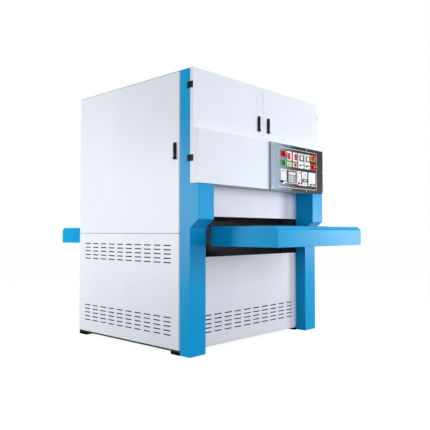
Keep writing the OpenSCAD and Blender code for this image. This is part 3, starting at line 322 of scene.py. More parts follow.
@dataclass(frozen=True)
class AnodisedPlate(GroundSteel):
    """Brushed plate, anodised grey: a painted sheen runs from light at one side to near black at the other."""

    # the colour of the painted sheen at the plate's light side
    light: str = "#93A2B3"
    start_x: float = 0.0
    end_x: float = 1.0

    metal_share: ClassVar[float] = 0.2
    gloss: ClassVar[float] = 0.2

    def shade(self, surface: Surface) -> None:
        """Adds the brushing and the painted sheen, which runs from light to dark.

        Args:
            surface: the material while it is made.
        """
        super().shade(surface)
        surface.level(Metallic=self.metal_share, Specular_IOR_Level=self.gloss)
        # painted sheen: the colour is mixed from the light shade at start_x to the brushed dark at end_x
        across = add_node(surface.tree, "SeparateXYZ", None, Vector=surface.coords).outputs["X"]
        share = add_node(surface.tree, "MapRange", {"interpolation_type": "SMOOTHSTEP"}, Value=across,
                         From_Min=self.start_x, From_Max=self.end_x).outputs["Result"]
        worn = surface.shader.inputs["Base Color"].links[0].from_socket
        mixed = add_node(surface.tree, "Mix", {"data_type": "RGBA"}, Factor=share, A=linear(self.light), B=worn)
        surface.feed(next(s for s in mixed.outputs if s.enabled), "Base Color")


@dataclass(frozen=True)
class MouldedPlastic(TwoTone):
    """Injection-moulded plastic: a fine spark-eroded grain under an even, low shine that keeps the colour."""

    shade_colour: str = "#1A1C1F"
    gloss: float = 0.2

    patch: ClassVar[float] = 30
    grain: ClassVar[Grain] = Grain("Voronoi", 0.8, spread=0.04, depth=0.03, strength=0.4)

    def shade(self, surface: Surface) -> None:
        """Adds the low shine; see Finish.shade."""
        super().shade(surface)
        surface.level(Specular_IOR_Level=self.gloss)


@dataclass(frozen=True)
class DullNylon(MouldedPlastic):
    """Glass-filled nylon: the fibres at the skin leave the grain almost without shine."""

    gloss: float = 0.15


@dataclass(frozen=True)
class CastEnamel(TwoTone):
    """Sand-cast iron under a brushed enamel: a lumpy skin with a satin shine."""

    shade_colour: str = "#3B5A7C"

    patch: ClassVar[float] = 60
    grain: ClassVar[Grain] = Grain("Noise", 5, spread=0.08, depth=0.25, strength=0.5, sockets={"Detail": 5.0})


@dataclass(frozen=True)
class Rubber(TwoTone):
    """Vulcanised rubber: matt, with the fine pits of a ground or moulded surface."""

    shade_colour: str = "#1C1D1F"

    patch: ClassVar[float] = 90
    grain: ClassVar[Grain] = Grain("Noise", 1.4, spread=0.06, depth=0.12, strength=0.6, sockets={"Detail": 4.0})


@dataclass(frozen=True)
class GroundRubber(Rubber):
    """Rubber ground true on its roller, which leaves finer pits."""

    grain: ClassVar[Grain] = replace(Rubber.grain, size=1.0)


@dataclass(frozen=True)
class DeadRubber(Rubber):
    """Dusty rubber: black pores that swallow the light, without any shine."""

    def shade(self, surface: Surface) -> None:
        """Takes the shine away; see Finish.shade."""
        super().shade(surface)
        surface.level(Specular_IOR_Level=0.0)


@dataclass(frozen=True)
class MatFoam(DeadRubber):
    """Open-pored foam: the same dead black with coarse pores."""

    grain: ClassVar[Grain] = replace(Rubber.grain, size=3.0)


@dataclass(frozen=True)
class RoughTop(TwoTone):
    """Conveyor belting with a rough top: a close grid of small rubber nubs that grips the sheet.

    The nubs are drawn coarser than the real 3 mm ones so that they show.
    """

    shade_colour: str = "#2E2B2D"

    patch: ClassVar[float] = 160
    grain: ClassVar[Grain] = Grain("Voronoi", 6.0, spread=0.08, depth=0.8, strength=0.7,
                                   settings={"feature": "SMOOTH_F1"}, sockets={"Randomness": 0.35})


@dataclass(frozen=True)
class AbrasiveCloth(TwoTone):
    """Ceramic grit bonded to cloth: a sharp, sparkling grain, red-brown from its resin.

    The grit is drawn coarser than the real 0.3 mm so that it shows.
    """

    shade_colour: str = "#5A2A1E"

    patch: ClassVar[float] = 2.5
    grain: ClassVar[Grain] = Grain("Voronoi", 0.9, spread=0.12, depth=0.4, strength=0.8)


@dataclass(frozen=True)
class FlapBrush(TwoTone):
    """Strips of abrasive cloth on edge: slits every 4 mm, of a wave with 20 bands, that break the colour."""

    shade_colour: str = "#43281A"

    patch: ClassVar[float] = 18
    grain: ClassVar[Grain] = Grain("Wave", 4.0 * 20, spread=0.08, depth=1.2, strength=0.8,
                                   settings={"bands_direction": "Z"}, sockets={"Distortion": 2.0, "Detail": 3.0})


@dataclass(frozen=True)
class LampLens(Finish):
    """Clear tinted acrylic, moulded: deep colour with a thin, sharp shine, faint ribs and a glow; on buttons that
    hold no lamp, this glow is painted light.
    """

    # the glow: lamp light in the lamps, painted light in the stop and start buttons
    glow: float = 0.25

    gloss: ClassVar[float] = 0.2
    coat: ClassVar[float] = 0.15
    grain: ClassVar[Grain] = Grain("Voronoi", 2.2, spread=0.05, depth=0.1, strength=0.3,
                                   sockets={"Randomness": 0.1})

    def shade(self, surface: Surface) -> None:
        """Adds the glow and the shine to the ribs.

        Args:
            surface: the material while it is made.
        """
        super().shade(surface)
        surface.level(Emission_Color=linear(self.colour), Emission_Strength=self.glow,
                      Specular_IOR_Level=self.gloss, Coat_Weight=self.coat)


@dataclass(frozen=True)
class PrintedFoil(TwoTone):
    """Polyester foil printed on its back: smooth and semi-gloss, with a trace of weave from the ink screen."""

    shade_colour: str = "#DDDFE2"

    patch: ClassVar[float] = 40
    grain: ClassVar[Grain] = Grain("Noise", 1.2, spread=0.03, depth=0.02, strength=0.3, sockets={"Detail": 1.0})


# Finishes of the machine

WHITE = PowderCoat("white_powder_coat", "#E5EAF4", 0.42)
HEADER_WHITE = PowderCoat("header_powder_coat", "#DEE1EE", 0.45, "#DADDEB")
BLUE = DeepEnamel("blue_powder_coat", "#00A3E2", 0.32, "#009DDA", gloss=0.11)
BLUE_TABLE = DeepEnamel("blue_table_powder_coat", "#00A3E0", 0.3, "#009FDA", gloss=0.05)
# a filter mat whose dead black also serves as painted shade for the dark inside behind the vent slots
FILTER_MAT_AND_PAINTED_SHADE = MatFoam("filter_mat_foam", "#0B0D0F", 0.9, "#070809")
FRAME_BLACK = DeepEnamel("black_frame_enamel", "#15171A", 0.55, "#111316")
PLATE_GREY = PowderCoat("grey_machine_enamel", "#4A4F57", 0.5, "#444951")
BED_GREY = PowderCoat("bed_enamel", "#6A7079", 0.5, "#636973")
CABINET = PowderCoat("cabinet_powder_coat", "#C9CCCF", 0.5, "#C4C7CA")
SCREW_STEEL = GroundSteel("phosphated_screw_steel", "#2A2B2D", 0.5, Run.ACROSS, 0.9, "#1E1F21")
ROUND_STEEL = GroundSteel("turned_steel", "#B4B8BC", 0.28)
CHAIN_STEEL = GroundSteel("oiled_chain_steel", "#5A5D61", 0.4, Run.UP, 0.9, "#3C3E41")
BRIGHT_STEEL = GroundSteel("zinc_plated_steel", "#DDE1E6", 0.25, Run.UP, 0.6, "#C2C7CD")
BLACK_NYLON = DullNylon("black_glass_filled_nylon", "#0E1114", 0.5, "#0A0C0F")
DEVICE_BLACK = MouldedPlastic("device_polycarbonate", "#2B2E33", 0.45, "#26292E")
MOTOR = CastEnamel("motor_enamel", "#466A92", 0.45)
BEARING = CastEnamel("bearing_enamel", "#33557F", 0.45, "#2C4A70")
FOOT_RUBBER = DeadRubber("foot_rubber", "#17191B", 0.8, "#131416")
ROLLER_RUBBER = GroundRubber("roller_rubber", "#2C2F33", 0.6, "#25282C")
V_BELT = Rubber("v_belt_rubber", "#17181A", 0.65)
BELTING = RoughTop("rough_top_belting", "#3A3537", 0.7)
ABRASIVE = AbrasiveCloth("abrasive_cloth", "#7B3B2A", 0.75)
BRUSH = FlapBrush("flap_brush", "#6B4630", 0.8)
INSTRUMENT_WHITE = MouldedPlastic("instrument_white_abs", "#F2F4F6", 0.35, "#EDEFF2")
INSTRUMENT_GREY = MouldedPlastic("instrument_grey_abs", "#8E9197", 0.4, "#868990")
INSTRUMENT_BLACK = MouldedPlastic("instrument_black_abs", "#232529", 0.3, "#1D1F22")
DARK_BEZEL = MouldedPlastic("meter_bezel_abs", "#3A3F4A", 0.3, "#333842")
RED_PLASTIC = MouldedPlastic("red_abs", "#D3101F", 0.28, "#C40E1B")
GREEN_PLASTIC = MouldedPlastic("green_abs", "#2E9A33", 0.28, "#288C2D")
PALE_GREEN = MouldedPlastic("pale_green_abs", "#6CC04A", 0.3, "#64B744")
YELLOW_PLASTIC = MouldedPlastic("yellow_abs", "#E9AE08", 0.3, "#E2A706")
# the stop and start buttons hold no lamp: their glow is painted light
START_BUTTON_PAINTED_GLOW = LampLens("lime_acrylic", "#B9D22C", 0.2, 0.12)
STOP_BUTTONS_PAINTED_GLOW = LampLens("stop_acrylic", "#D81224", 0.2, 0.1)
KNOB_PLASTIC = MouldedPlastic("knob_abs", "#15162A", 0.3, "#101124")
RED_LENS = LampLens("red_acrylic", "#E3101B", 0.18, 0.35)
GREEN_LENS = LampLens("green_acrylic", "#4FB62B", 0.18, 0.3)
BLUE_LENS = LampLens("blue_acrylic", "#2A2C66", 0.18, 0.08)
LED_WINDOW = LampLens("led_window_acrylic", "#C80713", 0.35, 0.06)
LED_DIGITS = LampLens("led_digits", "#F2382A", 0.4, 0.15)
LCD_CYAN = LampLens("lcd_window", "#8FD0E6", 0.25, 0.15)
SCREEN = LampLens("terminal_screen", "#E5D9CF", 0.3, 0.1)
DIAL = PrintedFoil("dial_foil", "#F4F5F7", 0.35, "#F0F1F4")
KEY_GREY = PrintedFoil("key_foil", "#C9CDD8", 0.4, "#C2C6D2")
KEY_YELLOW = PrintedFoil("yellow_key_foil", "#E6D34A", 0.4, "#DECB42")
KEY_GREEN = PrintedFoil("green_key_foil", "#58AC5C", 0.4, "#52A356")
KEY_BLUE = PrintedFoil("blue_key_foil", "#6C86D8", 0.4, "#657FD0")
KEY_PINK = PrintedFoil("pink_key_foil", "#EE8FA6", 0.4, "#E6889F")
INK = PrintedFoil("printed_ink", "#5B6270", 0.45, "#565D6B")


# Modelling helpers


def only(piece: bpy.types.Object) -> None:
    """Selects one object alone and makes it active.

    Args:
        piece: the object.
    """
    bpy.ops.object.select_all(action="DESELECT")
    piece.select_set(True)
    bpy.context.view_layer.objects.active = piece


class Part(Enum):
    """What is chosen in edit mode."""

    EDGE = "EDGE"
    FACE = "FACE"


def choose(piece: bpy.types.Object, part: Part,
           wanted: Callable[[bmesh.types.BMEdge | bmesh.types.BMFace], bool]) -> None:
    """Selects, in edit mode, the edges or the faces that pass a test.

    Args:
        piece: the object, already in edit mode.
        part: edges or faces.
        wanted: the test.
    """
    bpy.ops.mesh.select_mode(type=part.value)
    bpy.ops.mesh.select_all(action="DESELECT")
    mesh = bmesh.from_edit_mesh(piece.data)
    for item in mesh.edges if part is Part.EDGE else mesh.faces:
        if wanted(item):
            item.select = True
    mesh.select_flush_mode()
    bmesh.update_edit_mesh(piece.data)


def round_over(piece: bpy.types.Object, radius: float, segments: int = 2) -> None:
    """Rounds every edge that is sharper than the angle of smooth shading.

    Args:
        piece: the object.
        radius: the radius in metres.
        segments: the steps of the rounding.
    """
    only(piece)
    bevel = piece.modifiers.new("rounding", "BEVEL")
    bevel.width = radius
    bevel.segments = segments
    bevel.limit_method = "ANGLE"
    bevel.angle_limit = math.radians(SHARP_ANGLE)
    bpy.ops.object.modifier_apply(modifier=bevel.name)


def block(name: str, low: Iterable[float], high: Iterable[float]) -> bpy.types.Object:
    """Starts a piece from a box between two corners.

    Args:
        name: the piece's name.
        low: the lowest corner in metres.
        high: the highest corner.

    Returns:
        The box, to be shaped further.
    """
    low, high = Vector(low), Vector(high)
    bpy.ops.object.select_all(action="DESELECT")
    bpy.ops.mesh.primitive_cube_add(size=1, location=(low + high) / 2, scale=high - low)
    bpy.ops.object.transform_apply(location=True, rotation=True, scale=True)
    bpy.context.object.name = name
    return bpy.context.object


def disc(name: str, centre: Iterable[float], radius: float, depth: float, sides: int = 32) -> bpy.types.Object:
    """Starts a piece from a round bar along Y that stands out of a front face.

    Args:
        name: the piece's name.
        centre: the middle of its back face in metres.
        radius: its radius.
        depth: how far it stands out towards -Y.
        sides: the sides of the bar.

    Returns:
        The bar, to be shaped further.
    """
    x, y, z = centre
    bpy.ops.object.select_all(action="DESELECT")
    bpy.ops.mesh.primitive_cylinder_add(vertices=sides, radius=radius, depth=depth,
                                        location=(x, y - depth / 2, z), rotation=(math.radians(90), 0, 0))
    bpy.ops.object.transform_apply(location=True, rotation=True, scale=True)
    bpy.context.object.name = name
    return bpy.context.object


def plate(name: str, low: Iterable[float], high: Iterable[float], corner: float, edge: float) -> bpy.types.Object:
    """A plate in a front face, with rounded corners and softened front edges.

    Args:
        name: the piece's name.
        low: the lowest corner in metres.
        high: the highest corner.
        corner: the radius of its four corners.
        edge: the radius of its front edges.

    Returns:
        The plate.
    """
    crown = edge * CROWN_SHARE
    low = Vector(low) + Vector((0, crown, 0))
    piece = block(name, low, high)
    bpy.ops.object.mode_set(mode="EDIT")
    if corner:
        choose(piece, Part.EDGE, lambda e: abs((e.verts[0].co - e.verts[1].co).normalized().y) > FACING)
        bpy.ops.mesh.bevel(offset=corner, segments=CORNER_SEGMENTS, affect="EDGES")
    front = min(v.co.y for v in bmesh.from_edit_mesh(piece.data).verts)
    if edge:
        choose(piece, Part.FACE,
               lambda f: f.normal.y < -FACING and abs(f.calc_center_median().y - front) < FACE_TOLERANCE)
        bpy.ops.mesh.inset(thickness=edge, depth=0)
        bpy.ops.transform.translate(value=(0, -crown, 0))
    bpy.ops.object.mode_set(mode="OBJECT")
    return piece


def domed(name: str, centre: Iterable[float], radius: float, depth: float, sides: int = 28) -> bpy.types.Object:
    """A round button with a rounded front edge and a crowned face.

    Args:
        name: the piece's name.
        centre: the middle of its back face in metres.
        radius: its radius.
        depth: how far it stands out.
        sides: the sides of its rim.

    Returns:
        The button.
    """
    piece = disc(name, centre, radius, depth, sides)
    bpy.ops.object.mode_set(mode="EDIT")
    for share in DOME_SHARES:
        choose(piece, Part.FACE, lambda f: f.normal.y < -FACING and len(f.verts) == sides)
        bpy.ops.mesh.inset(thickness=radius * share * DOME_STEP_SHARE, depth=0)
        bpy.ops.transform.translate(value=(0, -depth * DOME_RISE_SHARE * (1 - share), 0))
    bpy.ops.object.mode_set(mode="OBJECT")
    return piece


def repeated(piece: bpy.types.Object, places: list[Vector]) -> list[bpy.types.Object]:
    """Copies a piece from its first place to the others, each copy with its own mesh.

    Args:
        piece: the piece, modelled at the first place.
        places: all the places in metres.

    Returns:
        The piece and its copies.
    """
    pieces = [piece]
    for place in places[1:]:
        copy = bpy.data.objects.new(piece.name, piece.data.copy())
        copy.data.transform(Matrix.Translation(place - places[0]))
        bpy.context.scene.collection.objects.link(copy)
        pieces.append(copy)
    return pieces


def cut_out(piece: bpy.types.Object, tool: bpy.types.Object) -> None:
    """Cuts a tool's form out of a piece and removes the tool.

    Args:
        piece: the piece.
        tool: the form that is cut out.
    """
    only(piece)
    cut = piece.modifiers.new("cut", "BOOLEAN")
    cut.operation = "DIFFERENCE"
    cut.object = tool
    cut.solver = "EXACT"
    bpy.ops.object.modifier_apply(modifier=cut.name)
    bpy.data.objects.remove(tool)


def drill(piece: bpy.types.Object, x: float, z: float, radius: float) -> None:
    """Bores a plate through along Y.

    Args:
        piece: the plate.
        x: the place of the hole across.
        z: the place of the hole up.
        radius: the radius of the hole.
    """
    back = max(v.co.y for v in piece.data.vertices)
    cut_out(piece, disc("drill", (x, back + DRILL_OVERRUN, z), radius, DRILL_LENGTH))


def joined(name: str, parts: list[bpy.types.Object]) -> bpy.types.Object:
    """Joins pieces of one finish into one object.

    Args:
        name: the name of the joined piece.
        parts: the pieces.

    Returns:
        The joined piece.
    """
    bpy.ops.object.select_all(action="DESELECT")
    for part in parts:
        part.select_set(True)
    bpy.context.view_layer.objects.active = parts[0]
    if len(parts) > 1:
        bpy.ops.object.join()
    parts[0].name = name
    return parts[0]


def dress(piece: bpy.types.Object, finish: Finish, body: str, slot: str) -> bpy.types.Object:
    """Gives a new piece its finish and lets it ride on its body.

    Args:
        piece: the piece.
        finish: its finish.
        body: the CAD body that it moves with.
        slot: the record's material slot; not used.

    Returns:
        The piece.
    """
    only(piece)
    bpy.ops.object.shade_smooth_by_angle(angle=math.radians(SHARP_ANGLE))
    even = piece.modifiers.new("even_normals", "WEIGHTED_NORMAL")
    even.keep_sharp = True
    bpy.ops.object.modifier_apply(modifier=even.name)
    piece.data.materials.clear()
    piece.data.materials.append(finish.material())
    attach(piece, body)
    LOG.info("%s rides on %s", piece.name, body)
    return piece


def softened(node: str, radius: float, segments: int = 2) -> bpy.types.Object:
    """Copies a CAD node, merges its triangles and rounds its edges, to stand in the node's place.

    Args:
        node: the node's name.
        radius: the radius of the edges in metres.
        segments: the steps of the rounding.

    Returns:
        The copy.
    """
    source = bpy.data.objects[node]
    piece = bpy.data.objects.new(node + "_formed", source.data.copy())
    bpy.context.scene.collection.objects.link(piece)
    only(piece)
    bpy.ops.object.mode_set(mode="EDIT")
    bpy.ops.mesh.select_all(action="SELECT")
    bpy.ops.mesh.remove_doubles(threshold=MERGE_DISTANCE)
    bpy.ops.mesh.dissolve_limited(angle_limit=math.radians(FLAT_ANGLE))
    bpy.ops.object.mode_set(mode="OBJECT")
    round_over(piece, radius, segments)
    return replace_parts(piece, node)


# Sub-assemblies


@dataclass
class Machine:
    """What all sub-assemblies share: the frame's record of bodies and slots."""

    record: dict

    def body_of(self, node: str) -> str:
        """The CAD body that holds a node."""
        bodies = self.record["behaviour"]["bodies"]
        return next(body for body, nodes in bodies.items() if node in nodes)

    def slot_of(self, node: str) -> str:
        """The material slot of a node."""
        return next(s["material_slot"] for s in self.record["subparts"] if s["node"] == node)

    def form(self, nodes: Iterable[str], finish: Finish, radius: float, segments: int = 2) -> None:
        """Replaces nodes by copies with rounded edges.

        Args:
            nodes: the nodes' names.
            finish: their finish.
            radius: the radius of the edges in metres.
            segments: the steps of the rounding.
        """
        for node in nodes:
            dress(softened(node, radius, segments), finish, self.body_of(node), self.slot_of(node))

    def coat(self, nodes: Iterable[str], finish: Finish) -> None:
        """Gives CAD nodes that stay as they are their finish.

        Args:
            nodes: the nodes' names.
            finish: their finish.
        """
        for node in nodes:
            mesh = bpy.data.objects[node].data
            mesh.materials.clear()
            mesh.materials.append(finish.material())
            LOG.info("%s keeps its CAD shape", node)


@dataclass
class Housing:
    """The sheet covers, the two blue columns and the black base that shows under them."""

    machine: Machine
    sheet_edge: float = 0.8 * MM
    slot_edge: float = 0.25 * MM
    column_edge: float = 1.4 * MM
    foot_edge: float = 3 * MM
    gland_edge: float = 0.8 * MM
    flange_edge: float = 1.5 * MM
    mat_edge: float = 0.4 * MM
    side_slots: tuple[float, float] = (1078 * MM, 13.5 * MM)
    front_slots: tuple[float, float] = (1108 * MM, 0.0)
    slot_rise: float = 131 * MM
    low_slots: float = 127 * MM
    high_slots: float = 638 * MM
    mat_margin: float = 8 * MM
    mat_gap: float = 2.2 * MM
    mat_t: float = 5 * MM
    rim_share: float = 0.3
    paint_depth: float = 1 * MM
    flange_t: float = 6.5 * MM
    flange_gap: float = 0.6 * MM

    def build(self) -> None:
        """Builds the housing."""
        self.machine.form(["rear_upper_cover", "top_cover"], WHITE, self.sheet_edge)
        self.machine.form(["left_vent_panel", "right_vent_panel", "front_vent_panel", "rear_vent_panel"],
                          WHITE, self.slot_edge, 1)
        self.machine.form(["front_header"], HEADER_WHITE, self.sheet_edge)
        self.machine.form(["left_column", "right_column"], BLUE, self.column_edge)
        self.machine.form(["feet"], FOOT_RUBBER, self.foot_edge)
        self.machine.form(["cable_gland"], BLACK_NYLON, self.gland_edge)
        self.machine.coat(["base_frame"], FRAME_BLACK)
        self.paint_front("base_frame")
        self.header_flange()
        for panel in ("left_vent_panel", "right_vent_panel", "left_side_door", "right_side_door"):
            low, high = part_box(panel)
            for i, z in enumerate(z for z in (self.low_slots, self.high_slots) if low.z < z < high.z):
                self.mat(f"{panel}_mat_{i}", panel, 0, self.side_slots, z)
        for panel in ("front_vent_panel", "rear_vent_panel"):
            self.mat(panel + "_mat", panel, 1, self.front_slots, self.low_slots)

    def paint_front(self, node: str) -> None:
        """Paints the foremost faces of a node white, as they are sprayed with the sheets that cover them.

        Args:
            node: the node's name.
        """
        piece = bpy.data.objects[node]
        piece.data.materials.append(WHITE.material())
        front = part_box(node)[0].y
        turn = piece.matrix_world.to_3x3()
        for face in piece.data.polygons:
            foremost = (piece.matrix_world @ face.center).y < front + self.paint_depth
            if foremost and (turn @ face.normal).y < -FACING:
                face.material_index = 1

    def header_flange(self) -> None:
        """The folded flange on the header's top edge, which closes the slit under the cabinet."""
        low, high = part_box("front_header")
        room = self.flange_gap
        flange = block("header_flange", (low.x + room, low.y + room, high.z + room / 2),
                       (high.x - room, low.y + room + self.flange_t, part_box("cabinet_shell")[0].z - room / 2))
        round_over(flange, self.flange_edge, 3)
        dress(flange, HEADER_WHITE, self.machine.body_of("front_header"), self.machine.slot_of("front_header"))

    def mat(self, name: str, panel: str, axis: int, slots: tuple[float, float], foot: float) -> None:
        """A black filter mat behind a group of vent slots, with its pressed-down rim, whose black is also painted
        shade.

        Args:
            name: the mat's name.
            panel: the node that holds the slots.
            axis: the axis through the panel, 0 for X and 1 for Y.
            slots: the run of the slots along the panel and its middle, in metres.
            foot: the height of the lowest slot.
        """
        low, high = (corner.copy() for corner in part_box(panel))
        outer, inward = (low[axis], 1) if low[axis] < 0 else (high[axis], -1)
        low[axis], high[axis] = sorted(outer + inward * room for room in (self.mat_gap, self.mat_gap + self.mat_t))
        run, middle = slots
        reach = run / 2 + self.mat_margin
        low[1 - axis], high[1 - axis] = middle - reach, middle + reach
        low.z, high.z = foot - self.mat_margin, foot + self.slot_rise + self.mat_margin
        piece = block(name, low, high)
        bpy.ops.object.mode_set(mode="EDIT")
        choose(piece, Part.FACE, lambda f: abs(f.normal[axis]) > FACING)
        bpy.ops.mesh.inset(thickness=self.mat_margin / 2, depth=0)
        bpy.ops.transform.shrink_fatten(value=-self.rim_share * self.mat_t)
        bpy.ops.object.mode_set(mode="OBJECT")
        round_over(piece, self.mat_edge, 1)
        dress(piece, FILTER_MAT_AND_PAINTED_SHADE, self.machine.body_of(panel), "black_plastic")


@dataclass
class Doors:
    """Two stepped front doors, two side doors, and their hinges and swing handles."""

    machine: Machine
    sheet_edge: float = 0.8 * MM
    slot_edge: float = 0.25 * MM
    hinge_edge: float = 0.7 * MM
    handle_edge: float = 1.6 * MM

    def build(self) -> None:
        """Builds the doors with what is on them."""
        self.machine.form(["left_front_door", "right_front_door"], WHITE, self.sheet_edge)
        self.machine.form(["left_side_door", "right_side_door"], WHITE, self.slot_edge, 1)
        self.machine.form(["fixed_hinge_leaves", "left_door_leaves", "right_door_leaves"], BLACK_NYLON,
                          self.hinge_edge)
        self.machine.form(["left_front_handle", "right_front_handle", "left_side_handle", "right_side_handle"],
                          BLACK_NYLON, self.handle_edge, 3)


@dataclass
class Conveyor:
    """The lifting bed with its blue tables, belt, rollers and gearmotor."""

    machine: Machine
    table_edge: float = 1.2 * MM

    def build(self) -> None:
        """Builds the bed and the lift under it."""
        self.machine.form(["front_table", "rear_table"], BLUE_TABLE, self.table_edge)
        self.machine.coat(["conveyor_belt"], BELTING)
        self.machine.coat(["bed_frame"], BED_GREY)
        self.machine.coat(["drive_roller", "idler_roller"], ROUND_STEEL)
        self.machine.coat(["roller_bearings"], BEARING)
        self.machine.coat(["conveyor_gearmotor", "lift_motor"], MOTOR)
        self.machine.coat(["front_left_screw", "front_right_screw", "rear_left_screw", "rear_right_screw"],
                          SCREW_STEEL)
        self.machine.coat(["lift_chain"], CHAIN_STEEL)


@dataclass
class Heads:
    """The side plates, the abrasive belt head, the roller brush and their drives."""

    machine: Machine
    casting_edge: float = 0.8 * MM
    shaft_r: float = 25 * MM
    bore_room: float = 0.12 * MM

    def build(self) -> None:
        """Builds the heads."""
        self.machine.coat(["side_plates"], PLATE_GREY)
        self.machine.coat(["contact_roller", "front_hold_down", "rear_hold_down"], ROLLER_RUBBER)
        self.machine.coat(["tension_roller", "abrasive_motor_pulley", "brush_motor_pulley"], ROUND_STEEL)
        self.machine.coat(["brush_roller"], BRUSH)
        self.machine.coat(["abrasive_belt"], ABRASIVE)
        self.machine.coat(["drive_belts"], V_BELT)
        self.bearings()
        self.machine.coat(["head_motors"], MOTOR)
        self.machine.coat(["cabinet_shell"], CABINET)
        self.machine.coat(["electrical_gear"], DEVICE_BLACK)

    def bearings(self) -> None:
        """The cast bearing housings, with softened edges and bores that clear the shafts at every turn."""
        piece = softened("head_bearings", self.casting_edge)
        for roller in ("contact_roller", "tension_roller", "brush_roller"):
            low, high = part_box(roller)
            middle = (low + high) / 2
            for vertex in piece.data.vertices:
                arm = Vector((0, vertex.co.y - middle.y, vertex.co.z - middle.z))
                if abs(arm.length - self.shaft_r) < self.bore_room:
                    vertex.co += arm.normalized() * self.bore_room
        dress(piece, BEARING, self.machine.body_of("head_bearings"), self.machine.slot_of("head_bearings"))


@dataclass
class ControlPanel:
    """The anodised plate on the right door with its instruments, buttons and screws.

    Places are shares of the field that the instruments share, as in the CAD model. The values from seat to keys
    are heights over the plate.
    """

    machine: Machine
    field_x: float = 105 * MM
    field_z: float = 34 * MM
    field_w: float = 535 * MM
    field_h: float = 301 * MM
    frame_t: float = 4 * MM
    stem_r: float = 6.05 * MM
    fillet_room: float = 1.0 * MM
    button_r: float = 15 * MM
    grip_edge: float = 0.8 * MM
    knob_edge: float = 0.5 * MM
    tile_edge: float = 0.35 * MM
    fine_edge: float = 0.1 * MM
    seat: float = 3.6 * MM
    printed: float = 4.4 * MM
    label: float = 4.6 * MM
    glass: float = 6.8 * MM
    bezel: float = 7.2 * MM
    inlay: float = 7.6 * MM
    face: float = 7.8 * MM
    screen: float = 8.08 * MM
    keys: float = 8.2 * MM
    figure_h: float = 13 * MM
    print_t: float = 0.2 * MM
    # painted sheen: how far from the plate's left edge the painted reflection fades to dark
    painted_sheen_reach: float = 370 * MM
    origin: Vector = field(default_factory=Vector)

    def build(self) -> None:
        """Builds the plate, then row by row what is on it."""
        low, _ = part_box("control_plate")
        self.origin = Vector((low.x + self.field_x, low.y, low.z + self.field_z))
        # the plate carries a painted sheen that fades from its left edge
        self.machine.form(["control_plate"],
                          AnodisedPlate("anodised_plate", "#17191B", 0.5, Run.ACROSS, 0.9, "#121415",
                                        start_x=low.x, end_x=low.x + self.painted_sheen_reach), self.grip_edge)
        # painted glow on the stop and start buttons, which hold no lamp
        self.machine.form(["emergency_stop", "stop_button"], STOP_BUTTONS_PAINTED_GLOW, self.grip_edge)
        self.machine.form(["start_button"], START_BUTTON_PAINTED_GLOW, self.grip_edge)
        self.machine.form(["isolator_handle", "red_selector"], RED_PLASTIC, self.grip_edge)
        self.machine.form(["green_selector"], GREEN_PLASTIC, self.grip_edge)
        self.machine.form(["speed_knob"], KNOB_PLASTIC, self.knob_edge)
        self.frames()
        self.square_plates()
        self.pointers()
        self.displays()
        self.meters()
        self.terminal()
        self.counter()
        self.lamps()
        self.bead()
        self.screws()

    def spot(self, x_share: float, z_share: float, out: float = 0.0) -> Vector:
        """A place on the plate.

        Args:
            x_share: the place across, as a share of the field.
            z_share: the place up.
            out: how far it stands out, in metres.

        Returns:
            The place in the machine's frame.
        """
        return self.origin + Vector((x_share * self.field_w, -out, z_share * self.field_h))

    def tile(self, name: str, x_share: float, z_share: float, w_share: float, h_share: float,
             back: float, front: float, corner: float = 1.5 * MM) -> bpy.types.Object:
        """A small plate at a place, with its width and height as shares of the field.

        Args:
            name: the piece's name.
            x_share: the place across.
            z_share: the place up.
            w_share: the width.
            h_share: the height.
            back: how far its back stands out of the plate, in metres.
            front: how far its front stands out.
            corner: the radius of its corners.

        Returns:
            The small plate.
        """
        half = Vector((w_share * self.field_w / 2, 0, h_share * self.field_h / 2))
        spot = self.spot(x_share, z_share)
        low = spot - half - Vector((0, front, 0))
        high = spot + half - Vector((0, back, 0))
        return plate(name, low, high, corner, self.tile_edge)

    def buttons(self, name: str, shares: list[tuple[float, float]], out: float, radius: float, height: float,
                sides: int = 28) -> list[bpy.types.Object]:
        """Round buttons of one size at several places.

        Args:
            name: the name of the pieces.
            shares: the places across and up.
            out: how far their backs stand out of the plate, in metres.
            radius: their radius.
            height: their height.
            sides: the sides of their rims.

        Returns:
            The buttons.
        """
        spots = [self.spot(x, z, out) for x, z in shares]
        return repeated(domed(name, spots[0], radius, height, sides), spots)

    def place(self, piece: bpy.types.Object, finish: Finish) -> bpy.types.Object:
        """Dresses a piece and lets it ride on the door.

        Args:
            piece: the piece.
            finish: its finish.

        Returns:
            The piece.
        """
        return dress(piece, finish, "right_door", "instrument")

    def frames(self) -> None:
        """The white frames of the instruments, and of the two push buttons."""
        shares = [(0.253, 0.827, 0.114, 0.246), (0.406, 0.822, 0.118, 0.246), (0.565, 0.741, 0.146, 0.409),
                  (0.740, 0.744, 0.155, 0.405), (0.308, 0.269, 0.336, 0.365), (0.527, 0.259, 0.077, 0.395),
                  (0.665, 0.256, 0.144, 0.392), (0.873, 0.262, 0.198, 0.385)]
        parts = [self.tile("frame", *share, 0, self.frame_t) for share in shares]
        bored = [((0.253, 0.606, 0.114, 0.12), (0.253, 0.606)), ((0.404, 0.606, 0.118, 0.12), (0.404, 0.606)),
                 ((0.08, 0.259, 0.101, 0.395), (0.045, 0.112))]
        for share, hole in bored:
            tile = self.tile("bored_frame", *share, 0, self.frame_t)
            spot = self.spot(*hole)
            drill(tile, spot.x, spot.z, self.stem_r + self.fillet_room)
            parts.append(tile)
        whole = self.place(joined("instrument_frames", parts), INSTRUMENT_WHITE)
        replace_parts(whole, "panel_instruments")

